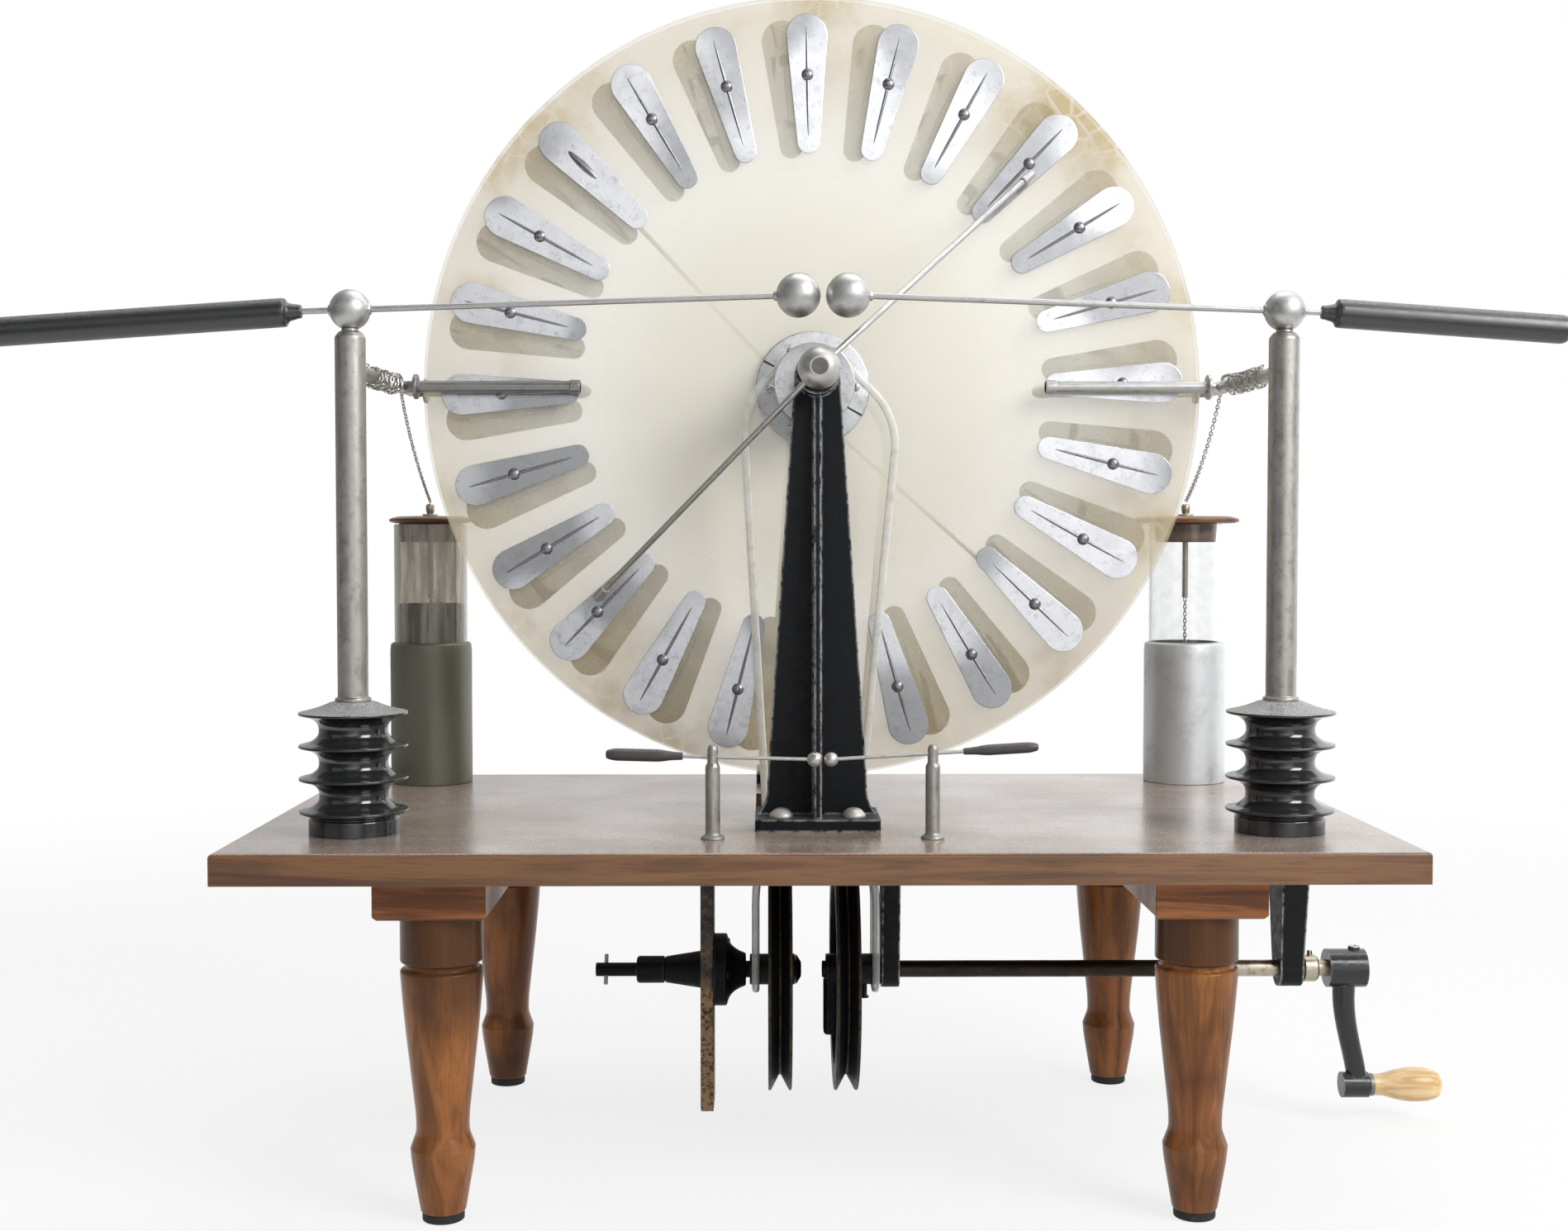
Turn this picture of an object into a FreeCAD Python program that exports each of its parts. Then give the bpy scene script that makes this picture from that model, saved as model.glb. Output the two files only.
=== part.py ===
"""A wimshurst machine: two contra-rotating discs on a board with jars, combs and dischargers.

The machine is drawn with X along the crank shaft, Y from front to back, and Z up from the floor.
The middle of the discs' axle is over X = 0, Y = 0. At the end every piece is moved so that the
middle of the whole machine's footprint is the origin. All sizes are in millimetres.
"""
import FreeCAD, Part

import math
import os

import Sketcher
from FreeCAD import Placement, Rotation, Vector

DRIVING_SIZES = {
    "board_length": 796, "board_depth": 428, "board_thickness": 21, "board_front": 258,
    "board_edge_round": 2.5, "board_underside": 235,
    "belt_slot_x": 36, "belt_slot_width": 16, "belt_slot_reach": 40,
    "batten_x": 258, "batten_width": 75, "batten_height": 26, "batten_inset": 15,
    "leg_x": 255, "front_leg_inset": 48, "back_leg_inset": 52,
    "leg_top_radius": 27.8, "leg_cylinder": 32, "leg_groove_radius": 24.5,
    "leg_waist_radius": 17, "leg_waist_z": 71, "leg_bulge_radius": 21.2, "leg_bulge_z": 47,
    "leg_toe_radius": 15.3, "leg_ring_step": 1.5, "leg_bulge_curve": 16, "leg_waist_curve": 60,
    "leg_swell_curve": 900, "pad_radius": 14.2, "pad_height": 6,
    "axle_z": 576.6, "axle_radius": 6.5, "running_clearance": 0.05,
    "column_y": 133.2, "column_top_width": 32, "column_low_width": 71,
    "column_web": 9, "column_rib": 5, "column_rib_low": 58, "column_rib_top": 18,
    "column_flare": 30, "column_flare_height": 22, "column_head_radius": 15.5,
    "column_head_length": 40,
    "foot_width": 88, "foot_depth": 66.5, "foot_thickness": 8.6, "foot_corner": 4,
    "bolt_x": 25.5, "bolt_y": 17, "bolt_head_radius": 8.5, "bolt_head_height": 6.5,
    "bolt_head_rim": 1.5, "bolt_radius": 3.5, "end_play": 0.3,
    "axle_past_ball": 12.6,
    "disc_radius": 300, "disc_thickness": 4, "disc_gap": 8, "hub_spigot_radius": 14,
    "sector_count": 24, "sector_inner": 180, "sector_outer": 286.5, "sector_inner_round": 8.7,
    "sector_outer_round": 15.8, "sector_thickness": 0.7, "rib_start": 193, "rib_end": 277,
    "rib_width": 2.4, "rib_height": 0.9, "stud_place": 240, "stud_radius": 4.6, "stud_height": 3.6,
    "stud_rim": 1.4,
    "sector_turn": 1, "rear_sector_turn": 5,
    "flange_radius": 44, "flange_thickness": 4.5, "flange_slot": 1.6, "flange_slot_angle": 151,
    "hub_sleeve_radius": 17, "pulley_y": 50, "pulley_width": 20, "pulley_radius": 30.5,
    "pulley_groove_radius": 24, "hub_end": 68, "hub_screw_count": 6, "hub_screw_circle": 33,
    "hub_screw_radius": 3.2, "hub_screw_height": 2.2, "collar_radius": 11, "collar_length": 7,
    "neutral_ball_y": 186, "neutral_ball_radius": 14.7, "neutral_rod_radius": 2.2,
    "neutral_reach": 230, "neutral_reach_y": 27, "neutral_angle": 44.2,
    "brush_clip_radius": 3.6, "brush_radius": 4.5, "brush_clearance": 0.5,
    "post_x": 323, "post_y": 164, "post_radius": 10.5, "post_neck_radius": 5, "post_neck_length": 5,
    "post_chamfer": 4, "arm_in_post": 2.5, "arm_hole_clearance": 0.7, "terminal_flat": 13,
    "post_pin_radius": 3, "post_pin_height": 9,
    "insulator_height": 91.6, "insulator_core": 23.6, "insulator_fin": 37.4,
    "insulator_base": 31, "insulator_base_height": 12, "insulator_top_radius": 15,
    "fin_low": 15.7, "fin_pitch": 22.6, "fin_count": 4, "fin_lip": 1.6, "fin_drop": 7.5,
    "fin_curve": 22,
    "terminal_z": 618, "terminal_radius": 14.1, "gap_ball_z": 628.5, "gap_ball_radius": 15.5,
    "left_gap_x": 13.9, "right_gap_x": 20.6, "rod_radius": 2.15, "handle_radius": 10,
    "left_handle_start": 356.3, "left_handle_end": 569.2, "right_handle_start": 348.6,
    "right_handle_end": 520, "handle_droop": 2, "handle_collar_length": 9, "handle_collar_radius": 5,
    "handle_collar_flare": 1.5, "handle_end_round": 3, "handle_bore_depth": 9.7,
    "handle_bore_clearance": 0.45,
    "comb_inner_x": 178, "comb_outer_x": 314, "comb_y": 22, "comb_radius": 4.5, "comb_bend": 9,
    "comb_tip_radius": 5.4, "comb_tip_length": 8, "ferrule_radius": 9.6, "ferrule_width": 3.2,
    "point_count": 8, "point_first": 190, "point_pitch": 13.4, "point_length": 4.2,
    "point_radius": 1.1, "comb_arm_radius": 5,
    "jar_x": 318, "jar_y": 121, "jar_radius": 30.2, "jar_wall": 2, "jar_top": 473,
    "foil_radius": 33.9, "foil_height": 118, "foil_clearance": 0.2, "foil_bead": 3,
    "lining_wall": 0.5, "lining_left": 150,
    "left_lid_radius": 34, "right_lid_radius": 44, "lid_thickness": 8.4, "stopper_length": 15.2,
    "stopper_radius": 26, "jar_rod_radius": 2.45, "jar_rod_low": 412, "jar_rod_top": 490,
    "jar_knob_radius": 4.2, "jar_chain_radius": 0.9,
    "lead_radius": 1.5, "lead_turns": 5, "lead_start_y": 118, "lead_pitch": 15,
    "lead_above_knob": 1.9,
    "gauge_y": 196, "left_gauge_x": 72.7, "right_gauge_x": 77.3, "gauge_post_radius": 5,
    "gauge_post_height": 51.4, "gauge_head_radius": 3.6, "gauge_head_height": 13,
    "gauge_bore_depth": 12, "gauge_foot_radius": 8, "gauge_foot_height": 3, "gauge_rod_radius": 1.3, "gauge_ball_z": 310.3,
    "left_gauge_ball": 5.4, "right_gauge_ball": 5.0, "left_gauge_ball_x": -3.1,
    "right_gauge_ball_x": 7.8, "left_gauge_slope": 1.5, "right_gauge_slope": 3.4,
    "left_gauge_handle_start": 93, "left_gauge_handle_end": 145.2, "left_gauge_handle": 4.25,
    "right_gauge_handle_start": 98.1, "right_gauge_handle_end": 149.2, "right_gauge_handle": 3.7,
    "shaft_z": 122.7, "shaft_radius": 6.5, "wheel_x": 25.5, "wheel_radius": 92.5,
    "wheel_width": 18, "wheel_groove_depth": 12, "wheel_web": 6, "wheel_rim_depth": 19, "wheel_rim_flat": 2,
    "hub_radius": 12, "wheel_hub_inner": 10.6, "right_hub_outer": 53.5, "left_hub_outer": 49,
    "belt_radius": 3, "belt_clearance": 0.3, "right_belt_x": 49.4, "left_belt_x": 44.3,
    "right_bulge_x": 63, "left_bulge_x": 54, "belt_slot_y": 25, "belt_bulge_bend": 55,
    "belt_slot_bend": 150, "belt_hub_bend": 90,
    "set_screw_radius": 2, "set_screw_head": 3.4, "set_screw_x": 41.2, "set_screw_length": 9,
    "inner_hanger_x": 61, "inner_hanger_width": 14, "outer_hanger_x": 375, "outer_hanger_width": 22,
    "outer_hanger_low_width": 18, "hanger_depth_top": 52, "hanger_depth_low": 26,
    "hanger_flange": 6, "hanger_lug": 14, "hanger_boss_radius": 14, "collar_x": 392, "shaft_collar_radius": 10.5,
    "shaft_collar_width": 11, "crank_hub_x": 420, "crank_hub_length": 30, "crank_hub_radius": 15,
    "crank_throw": 93, "crank_boss_x": 428.5, "crank_boss_length": 21, "crank_boss_radius": 10,
    "crank_arm_radius": 8, "crank_screw_shift": 7, "crank_screw_radius": 4.6,
    "crank_screw_rise": 2, "spindle_radius": 4, "spindle_reach": 46,
    "grip_length": 57, "grip_neck_radius": 8.4, "grip_belly_radius": 13.5, "grip_belly": 36,
    "dog_x": 14.8, "dog_width": 12, "dog_length": 51, "dog_depth": 16, "dog_round": 4,
    "plate_x": 82, "plate_thickness": 10, "plate_depth": 48, "plate_low": 15, "plate_corner": 6,
    "bell_flange_radius": 28, "bell_flange_thickness": 11, "bell_curve": 20, "bell_end": 52, "bell_nose_radius": 13,
    "nose_end": 115.6, "nose_radius": 14.5, "nose_small_radius": 10.2, "idler_collar_end": 137.5,
    "idler_collar_radius": 10.5, "stub_radius": 5.3, "stub_end": 169.7, "pin_turn": 65,
    "idler_head_start": 13.5, "idler_head_end": 8.7, "idler_head_radius": 11.3, "pin_radius": 1.6, "pin_length": 24,
    "pin_from_end": 8, "seat_gap": 0.2,
}


class Size:
    """A size from the sheet, or sizes worked out together: an expression and its value."""

    def __init__(self, text, value):
        self.text = text
        self.value = value

    def __add__(self, other):
        other = as_size(other)
        return Size(f"({self.text} + {other.text})", self.value + other.value)

    def __sub__(self, other):
        other = as_size(other)
        return Size(f"({self.text} - {other.text})", self.value - other.value)

    def __mul__(self, other):
        other = as_size(other)
        return Size(f"{self.text} * {other.text}", self.value * other.value)

    def __truediv__(self, other):
        other = as_size(other)
        return Size(f"{self.text} / ({other.text})", self.value / other.value)

    def __neg__(self):
        return Size(f"(-1 * {self.text})", -self.value)

    def __rsub__(self, other):
        return as_size(other) - self

    __radd__ = __add__
    __rmul__ = __mul__


def as_size(number):
    """A plain number as a Size; a Size stays as it is."""
    if isinstance(number, Size):
        return number
    return Size(f"({number})", float(number))


class Sizes:
    """The spreadsheet of driving sizes; each one is read as an attribute."""

    def __init__(self, doc, values):
        sheet = doc.addObject("Spreadsheet::Sheet", "Sizes")
        for row, (name, value) in enumerate(values.items(), start=1):
            sheet.set(f"A{row}", name)
            sheet.set(f"B{row}", str(value))
            sheet.setAlias(f"B{row}", name)
            setattr(self, name, Size(f"Sizes.{name}", float(value)))


doc = FreeCAD.newDocument("Wimshurst")
size = Sizes(doc, DRIVING_SIZES)
doc.recompute()

ALONG_X = Rotation(Vector(0, 1, 0), 90)
ALONG_MINUS_X = Rotation(Vector(0, 1, 0), -90)
TOWARDS_BACK = Rotation(Vector(1, 0, 0), -90)
TOWARDS_FRONT = Rotation(Vector(1, 0, 0), 90)
FACING_BACK = Rotation(Vector(0, 0, 1), 180)
UPRIGHT = Rotation()
LEFT, RIGHT = -1, 1

sub_parts = []


def place(piece, x=0, y=0, z=0, rotation=UPRIGHT):
    """Put a finished piece in the machine and count it as one of its sub-parts."""
    spot = Vector(as_size(x).value, as_size(y).value, as_size(z).value)
    piece.Placement = Placement(spot, rotation)
    sub_parts.append(piece)
    return piece


def new_body(label):
    """An empty body with its label."""
    body = doc.addObject("PartDesign::Body", label)
    body.Label = label
    return body


def sketch_on(body, plane, name, offset=None):
    """A sketch on one of the body's own origin planes, moved along the plane's normal."""
    sketch = body.newObject("Sketcher::SketchObject", name)
    support = next(f for f in body.Origin.OriginFeatures if f.Role == plane)
    sketch.AttachmentSupport = [(support, "")]
    sketch.MapMode = "FlatFace"
    if offset is not None:
        sketch.setExpression("AttachmentOffset.Base.z", as_size(offset).text)
    return sketch


def bind(sketch, constraint, name, wanted):
    """Add one dimension to a sketch and bind it to a size."""
    index = sketch.addConstraint(constraint)
    sketch.renameConstraint(index, name)
    sketch.setExpression(f"Constraints.{name}", wanted.text)


def pin_point(sketch, side, end, name, x, y):
    """Hold a corner at its place from the sketch's origin."""
    if x.value == 0:
        sketch.addConstraint(Sketcher.Constraint("PointOnObject", side, end, -2))
    else:
        bind(sketch, Sketcher.Constraint("DistanceX", -1, 1, side, end, x.value), f"{name}_x", x)
    if y.value == 0:
        sketch.addConstraint(Sketcher.Constraint("PointOnObject", side, end, -1))
    else:
        bind(sketch, Sketcher.Constraint("DistanceY", -1, 1, side, end, y.value), f"{name}_y", y)


def arc_between(start, end, radius):
    """The short arc from start to end; it turns left for a positive radius, else right."""
    chord = end - start
    half = chord.Length / 2
    rise = math.sqrt(max(radius * radius - half * half, 0))
    left = Vector(-chord.y, chord.x, 0).normalize()
    turn = 1 if radius > 0 else -1
    centre = (start + end) * 0.5 + left * (rise * turn)
    first, last = (start, end) if turn > 0 else (end, start)
    angle_first = math.atan2(first.y - centre.y, first.x - centre.x)
    angle_last = math.atan2(last.y - centre.y, last.x - centre.x)
    circle = Part.Circle(centre, Vector(0, 0, 1), abs(radius))
    return Part.ArcOfCircle(circle, angle_first, angle_last)


def draw_path(sketch, corners, closed=True):
    """Draw straight sides and arcs from corner to corner; every corner is held by two sizes.

    A corner is (x, y), or (x, y, radius) where the side that leaves it is an arc: it turns left
    for a positive radius and right for a negative one.
    """
    count = len(corners)
    spots = [(as_size(corner[0]), as_size(corner[1])) for corner in corners]
    ends = []
    sides = count if closed else count - 1
    for index in range(sides):
        x, y = spots[index]
        next_x, next_y = spots[(index + 1) % count]
        start = Vector(x.value, y.value, 0)
        finish = Vector(next_x.value, next_y.value, 0)
        if len(corners[index]) == 3:
            radius = as_size(corners[index][2])
            side = sketch.addGeometry(arc_between(start, finish, radius.value), False)
            ends.append((side, 1, 2) if radius.value > 0 else (side, 2, 1))
            bend = radius if radius.value > 0 else -radius
            bind(sketch, Sketcher.Constraint("Radius", side, bend.value), f"bend_{index}", bend)
        else:
            side = sketch.addGeometry(Part.LineSegment(start, finish), False)
            ends.append((side, 1, 2))
    for index in range(sides if closed else sides - 1):
        side, _, finish = ends[index]
        next_side, start, _ = ends[(index + 1) % sides]
        sketch.addConstraint(Sketcher.Constraint("Coincident", side, finish, next_side, start))
    for index, (x, y) in enumerate(spots):
        if index < sides:
            side, end, _ = ends[index]
        else:
            side, _, end = ends[-1]
        pin_point(sketch, side, end, f"corner_{index}", x, y)
    return sketch


def draw_circle(sketch, x, y, radius, name="circle"):
    """Draw a circle held by its centre and radius."""
    x, y, radius = as_size(x), as_size(y), as_size(radius)
    circle = Part.Circle(Vector(x.value, y.value, 0), Vector(0, 0, 1), radius.value)
    side = sketch.addGeometry(circle, False)
    bind(sketch, Sketcher.Constraint("Radius", side, radius.value), f"{name}_radius", radius)
    pin_point(sketch, side, 3, name, x, y)
    return sketch


def rectangle(x0, x1, y0, y1):
    """The four corners of a rectangle."""
    return [(x0, y0), (x1, y0), (x1, y1), (x0, y1)]


def pad(body, sketch, length, symmetric_pad=False, reverse=False):
    """Pad a sketch by a length, to one side or to both."""
    feature = body.newObject("PartDesign::Pad", f"{sketch.Name}_Pad")
    feature.Profile = sketch
    feature.SideType = "Symmetric" if symmetric_pad else "One side"
    feature.Reversed = reverse
    feature.setExpression("Length", as_size(length).text)
    return feature


def pocket(body, sketch, length=None, reverse=False):
    """Cut a sketch through the body both ways, or to a depth."""
    feature = body.newObject("PartDesign::Pocket", f"{sketch.Name}_Pocket")
    feature.Profile = sketch
    feature.Reversed = reverse
    if length is None:
        feature.Type = "ThroughAll"
        feature.SideType = "Symmetric"
    else:
        feature.setExpression("Length", as_size(length).text)
    return feature


def turn(body, sketch, axis="V_Axis"):
    """Turn a sketch round one of its axes into a round piece."""
    feature = body.newObject("PartDesign::Revolution", f"{sketch.Name}_Turned")
    feature.Profile = sketch
    feature.ReferenceAxis = (sketch, [axis])
    feature.Angle = 360
    return feature


def turned_body(label, path):
    """A body turned round Z from a path of (radius, height) corners."""
    body = new_body(label)
    turn(body, draw_path(sketch_on(body, "XZ_Plane", f"{label}_outline"), path))
    return body


def around(body, features, count, axis="Z_Axis"):
    """Repeat features round an axis of the body, evenly over a full turn."""
    doc.recompute()
    pattern = body.newObject("PartDesign::PolarPattern", f"{features[0].Name}_Pattern")
    pattern.Originals = features
    line = next(f for f in body.Origin.OriginFeatures if f.Role == axis)
    pattern.Axis = (line, [""])
    pattern.Angle = 360
    pattern.setExpression("Occurrences", as_size(count).text)
    body.Tip = pattern
    return pattern


def edges_where(shape, wanted):
    """Names of the edges that a test picks."""
    return [f"Edge{n}" for n, edge in enumerate(shape.Edges, start=1) if wanted(edge)]


def soften(body, kind, wanted, amount):
    """Fillet or chamfer the picked edges of the body's last feature."""
    doc.recompute()
    base = body.Tip
    names = edges_where(base.Shape, wanted)
    feature = body.newObject(f"PartDesign::{kind}", f"{body.Name}_{kind}")
    feature.Base = (base, names)
    target = "Radius" if kind == "Fillet" else "Size"
    feature.setExpression(target, as_size(amount).text)
    return feature


def primitive(kind, name, rotation=UPRIGHT, centre=(0, 0, 0), **sizes_of):
    """A plain solid whose sizes and centre are bound to the sheet."""
    solid = doc.addObject(f"Part::{kind}", name)
    for field, amount in sizes_of.items():
        solid.setExpression(field, as_size(amount).text)
    solid.Placement = Placement(Vector(), rotation)
    for axis, amount in zip("xyz", centre):
        solid.setExpression(f"Placement.Base.{axis}", as_size(amount).text)
    return solid


def joined(label, solids):
    """Several solids fused into one piece."""
    piece = doc.addObject("Part::MultiFuse", label)
    piece.Label = label
    piece.Shapes = solids
    return piece


def cut(label, solid, tool):
    """One solid cut by another."""
    piece = doc.addObject("Part::Cut", label)
    piece.Label = label
    piece.Base = solid
    piece.Tool = tool
    return piece


def group(label, solids):
    """Like pieces kept as separate solids under one name."""
    piece = doc.addObject("Part::Compound", label)
    piece.Label = label
    piece.Links = solids
    return piece


def formed(label, shape):
    """A piece whose form is worked out from the sizes as a whole."""
    piece = doc.addObject("Part::Feature", label)
    piece.Label = label
    piece.Shape = shape
    return piece


def rounded_wire(corners, closed=False):
    """Straight runs joined by tangent arcs through corners of (point, arc radius)."""
    count = len(corners)
    pieces = []
    for index, (point, radius) in enumerate(corners):
        if not closed and index in (0, count - 1):
            pieces.append((point, point, None))
            continue
        before = (corners[index - 1][0] - point).normalize()
        after = (corners[(index + 1) % count][0] - point).normalize()
        half = before.getAngle(after) / 2
        reach = radius / math.tan(half)
        inward = (before + after).normalize()
        middle = point + inward * (radius / math.sin(half) - radius)
        first = point + before * reach
        last = point + after * reach
        pieces.append((first, last, Part.Arc(first, middle, last).toShape()))
    edges = []
    for index, (first, last, arc) in enumerate(pieces):
        if arc is not None:
            edges.append(arc)
        if index < count - 1 or closed:
            following = pieces[(index + 1) % count][0]
            if last.distanceToPoint(following) > 1e-6:
                edges.append(Part.LineSegment(last, following).toShape())
    return Part.Wire(edges)


def tube_along(wire, radius):
    """A round solid tube along a wire."""
    start = wire.Edges[0]
    point = start.valueAt(start.FirstParameter)
    direction = start.tangentAt(start.FirstParameter)
    ring = Part.Wire([Part.makeCircle(radius, point, direction)])
    return wire.makePipeShell([ring], True, False)


def root(number):
    """The square root of a Size."""
    return Size(f"sqrt({number.text})", math.sqrt(number.value))


def sine(angle):
    """The sine of a Size in degrees."""
    return Size(f"sin({angle.text})", math.sin(math.radians(angle.value)))


def cosine(angle):
    """The cosine of a Size in degrees."""
    return Size(f"cos({angle.text})", math.cos(math.radians(angle.value)))


def cap_radius(radius, rise):
    """The radius of a domed cap from its rim radius and its rise."""
    return (radius * radius + rise * rise) / (rise * 2)


def copies(label, master, spots):
    """A group of like pieces: the master at each of several placements."""
    links = []
    for number, spot in enumerate(spots, start=1):
        link = doc.addObject("App::Link", f"{label}_{number}")
        link.LinkedObject = master
        link.Placement = spot
        links.append(link)
    return group(label, links)


board_top = size.board_underside + size.board_thickness
board_back = size.board_depth - size.board_front
batten_underside = size.board_underside - size.batten_height
disc_face = size.disc_gap / 2 + size.disc_thickness
belt_seat = size.belt_radius + size.belt_clearance
pulley_belt_radius = size.pulley_groove_radius + belt_seat
hub_belt_radius = size.hub_radius + belt_seat
axle_bore = size.axle_radius + size.running_clearance
shaft_bore = size.shaft_radius + size.running_clearance
HALF_RIGHT_ANGLE = as_size(round(math.sqrt(0.5), 6))


def make_board():
    """The board with its two slots for the belt and a softened top edge."""
    board = new_body("base_board")
    half = size.board_length / 2
    outline = sketch_on(board, "XY_Plane", "board_outline")
    draw_path(outline, rectangle(-half, half, -size.board_front, board_back))
    pad(board, outline, size.board_thickness)
    for side, name in ((LEFT, "left_slot"), (RIGHT, "right_slot")):
        slot = sketch_on(board, "XY_Plane", name)
        inner = side * (size.belt_slot_x - size.belt_slot_width / 2)
        outer = side * (size.belt_slot_x + size.belt_slot_width / 2)
        reach = size.belt_slot_reach
        draw_path(slot, rectangle(inner, outer, -reach, reach))
        pocket(board, slot)

    def on_top_rim(edge):
        box = edge.BoundBox
        on_end = box.XLength < 0.01 and abs(abs(box.XMin) - half.value) < 0.01
        on_side = box.YLength < 0.01 and box.XLength > half.value
        return box.ZMin > size.board_thickness.value - 0.01 and (on_end or on_side)

    soften(board, "Fillet", on_top_rim, size.board_edge_round)
    place(board, z=size.board_underside)


def make_battens():
    """A batten from front to back under each end of the board."""
    for side, name in ((LEFT, "left_batten"), (RIGHT, "right_batten")):
        batten = new_body(name)
        outline = sketch_on(batten, "XY_Plane", f"{name}_outline")
        half = size.batten_width / 2
        front = size.batten_inset - size.board_front
        back = board_back - size.batten_inset
        draw_path(outline, rectangle(-half, half, front, back))
        pad(batten, outline, size.batten_height)
        lower = size.board_edge_round
        soften(batten, "Chamfer", lambda edge: edge.BoundBox.ZMax < 0.01, lower)
        place(batten, side * size.batten_x, 0, batten_underside)


def leg_path():
    """The turned outline of a leg from its toe up to the batten."""
    cylinder = batten_underside - size.leg_cylinder
    step = size.leg_ring_step
    return [
        (0, size.pad_height),
        (size.leg_toe_radius, size.pad_height),
        (size.leg_bulge_radius, size.leg_bulge_z - step * 2, size.leg_bulge_curve),
        (size.leg_waist_radius + step, size.leg_waist_z - step * 6, -size.leg_waist_curve),
        (size.leg_waist_radius + step, size.leg_waist_z + step * 6, size.leg_swell_curve),
        (size.leg_top_radius, cylinder - step * 7),
        (size.leg_top_radius, cylinder - step * 4),
        (size.leg_groove_radius, cylinder - step * 3),
        (size.leg_groove_radius, cylinder - step),
        (size.leg_top_radius, cylinder),
        (size.leg_top_radius, batten_underside),
        (0, batten_underside),
    ]


def make_legs():
    """Four turned legs and the pads under them."""
    spots = []
    front_y = size.front_leg_inset - size.board_front
    back_y = board_back - size.back_leg_inset
    for side, side_name in ((LEFT, "left"), (RIGHT, "right")):
        for y, end_name in ((front_y, "front"), (back_y, "back")):
            leg = turned_body(f"{end_name}_{side_name}_leg", leg_path())
            place(leg, side * size.leg_x, y)
            spots.append((side * size.leg_x, y))
    pads = [
        primitive("Cylinder", f"pad_{number}", centre=(x, y, 0), Radius=size.pad_radius,
                  Height=size.pad_height)
        for number, (x, y) in enumerate(spots, start=1)
    ]
    place(group("foot_pads", pads))


def make_column(name, y, rotation):
    """A cast column: flared web, crossed rib, head with the axle's bore and a bolted foot."""
    column = new_body(name)
    rise = size.axle_z - board_top
    foot = size.foot_thickness
    low, flare = size.column_low_width / 2, size.column_flare_height
    top = size.column_top_width / 2
    wide = size.foot_width / 2 - size.foot_corner / 2
    base = sketch_on(column, "XY_Plane", f"{name}_foot")
    half_x, half_y = size.foot_width / 2, size.foot_depth / 2
    draw_path(base, rectangle(-half_x, half_x, -half_y, half_y))
    pad(column, base, foot)
    soften(column, "Fillet", lambda e: e.BoundBox.ZLength > foot.value - 0.01, size.foot_corner)
    web = sketch_on(column, "XZ_Plane", f"{name}_web")
    draw_path(web, [
        (-wide, foot), (wide, foot, -size.column_flare), (low, foot + flare),
        (top, rise, top), (0, rise + top, top), (-top, rise),
        (-low, foot + flare, -size.column_flare),
    ])
    pad(column, web, size.column_web, symmetric_pad=True)
    rib = sketch_on(column, "YZ_Plane", f"{name}_rib")
    rib_low, rib_top = size.column_rib_low / 2, size.column_rib_top / 2
    draw_path(rib, [(-rib_low, foot), (rib_low, foot), (rib_top, rise), (-rib_top, rise)])
    pad(column, rib, size.column_rib, symmetric_pad=True)
    head = draw_circle(sketch_on(column, "XZ_Plane", f"{name}_head"), 0, rise,
                       size.column_head_radius)
    pad(column, head, size.column_head_length, symmetric_pad=True)
    bore = draw_circle(sketch_on(column, "XZ_Plane", f"{name}_bore"), 0, rise, axle_bore)
    pocket(column, bore)
    holes = sketch_on(column, "XY_Plane", f"{name}_bolt_holes")
    hole = size.bolt_radius + size.running_clearance
    for number, (x, front) in enumerate(bolt_spots()):
        draw_circle(holes, x, front, hole, f"hole_{number}")
    pocket(column, holes)
    place(column, 0, y, board_top, rotation)


def bolt_spots():
    """Where a column's foot is bolted down, from the foot's middle."""
    return [(x * size.bolt_x, y * size.bolt_y) for x in (LEFT, RIGHT) for y in (-1, 1)]


def make_columns():
    """The front and the rear column with the bolts of their feet."""
    make_column("front_column", -size.column_y, UPRIGHT)
    make_column("rear_column", size.column_y, FACING_BACK)
    head = size.bolt_head_radius
    top = size.foot_thickness + size.bolt_head_height
    rim = size.foot_thickness + size.bolt_head_rim
    bolt = turned_body("foot_bolt", [
        (0, 0), (size.bolt_radius, 0), (size.bolt_radius, size.foot_thickness),
        (head, size.foot_thickness), (head, rim, cap_radius(head, top - rim)), (0, top),
    ])
    spots = [
        Placement(Vector(x.value, (y + column_y).value, board_top.value), UPRIGHT)
        for x, y in bolt_spots() for column_y in (-size.column_y, size.column_y)
    ]
    place(copies("column_bolts", bolt, spots))


def make_axle():
    """The fixed axle with a collar outside each hub and a spacer between the discs."""
    end = size.neutral_ball_y + size.axle_past_ball
    collar_in = size.hub_end + size.end_play
    collar_out = collar_in + size.collar_length
    spacer = size.disc_gap / 2 - size.end_play
    thin, thick = size.axle_radius, size.collar_radius
    outward = [
        (thick, spacer), (thin, spacer), (thin, collar_in), (thick, collar_in),
        (thick, collar_out), (thin, collar_out), (thin, end),
    ]
    path = [(radius, -reach) for radius, reach in reversed(outward)]
    axle = turned_body("disc_axle", [(0, -end)] + path + outward + [(0, end)])
    place(axle, z=size.axle_z, rotation=TOWARDS_FRONT)


def pulley_groove(rim, seat, middle, curve):
    """The corners of a round-bottomed V groove whose belt runs at the seat radius."""
    offset = curve * HALF_RIGHT_ANGLE
    low = seat - offset
    flank = rim - low
    return [
        (rim, middle - offset - flank), (low, middle - offset, -curve),
        (low, middle + offset), (rim, middle + offset + flank),
    ]


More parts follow.
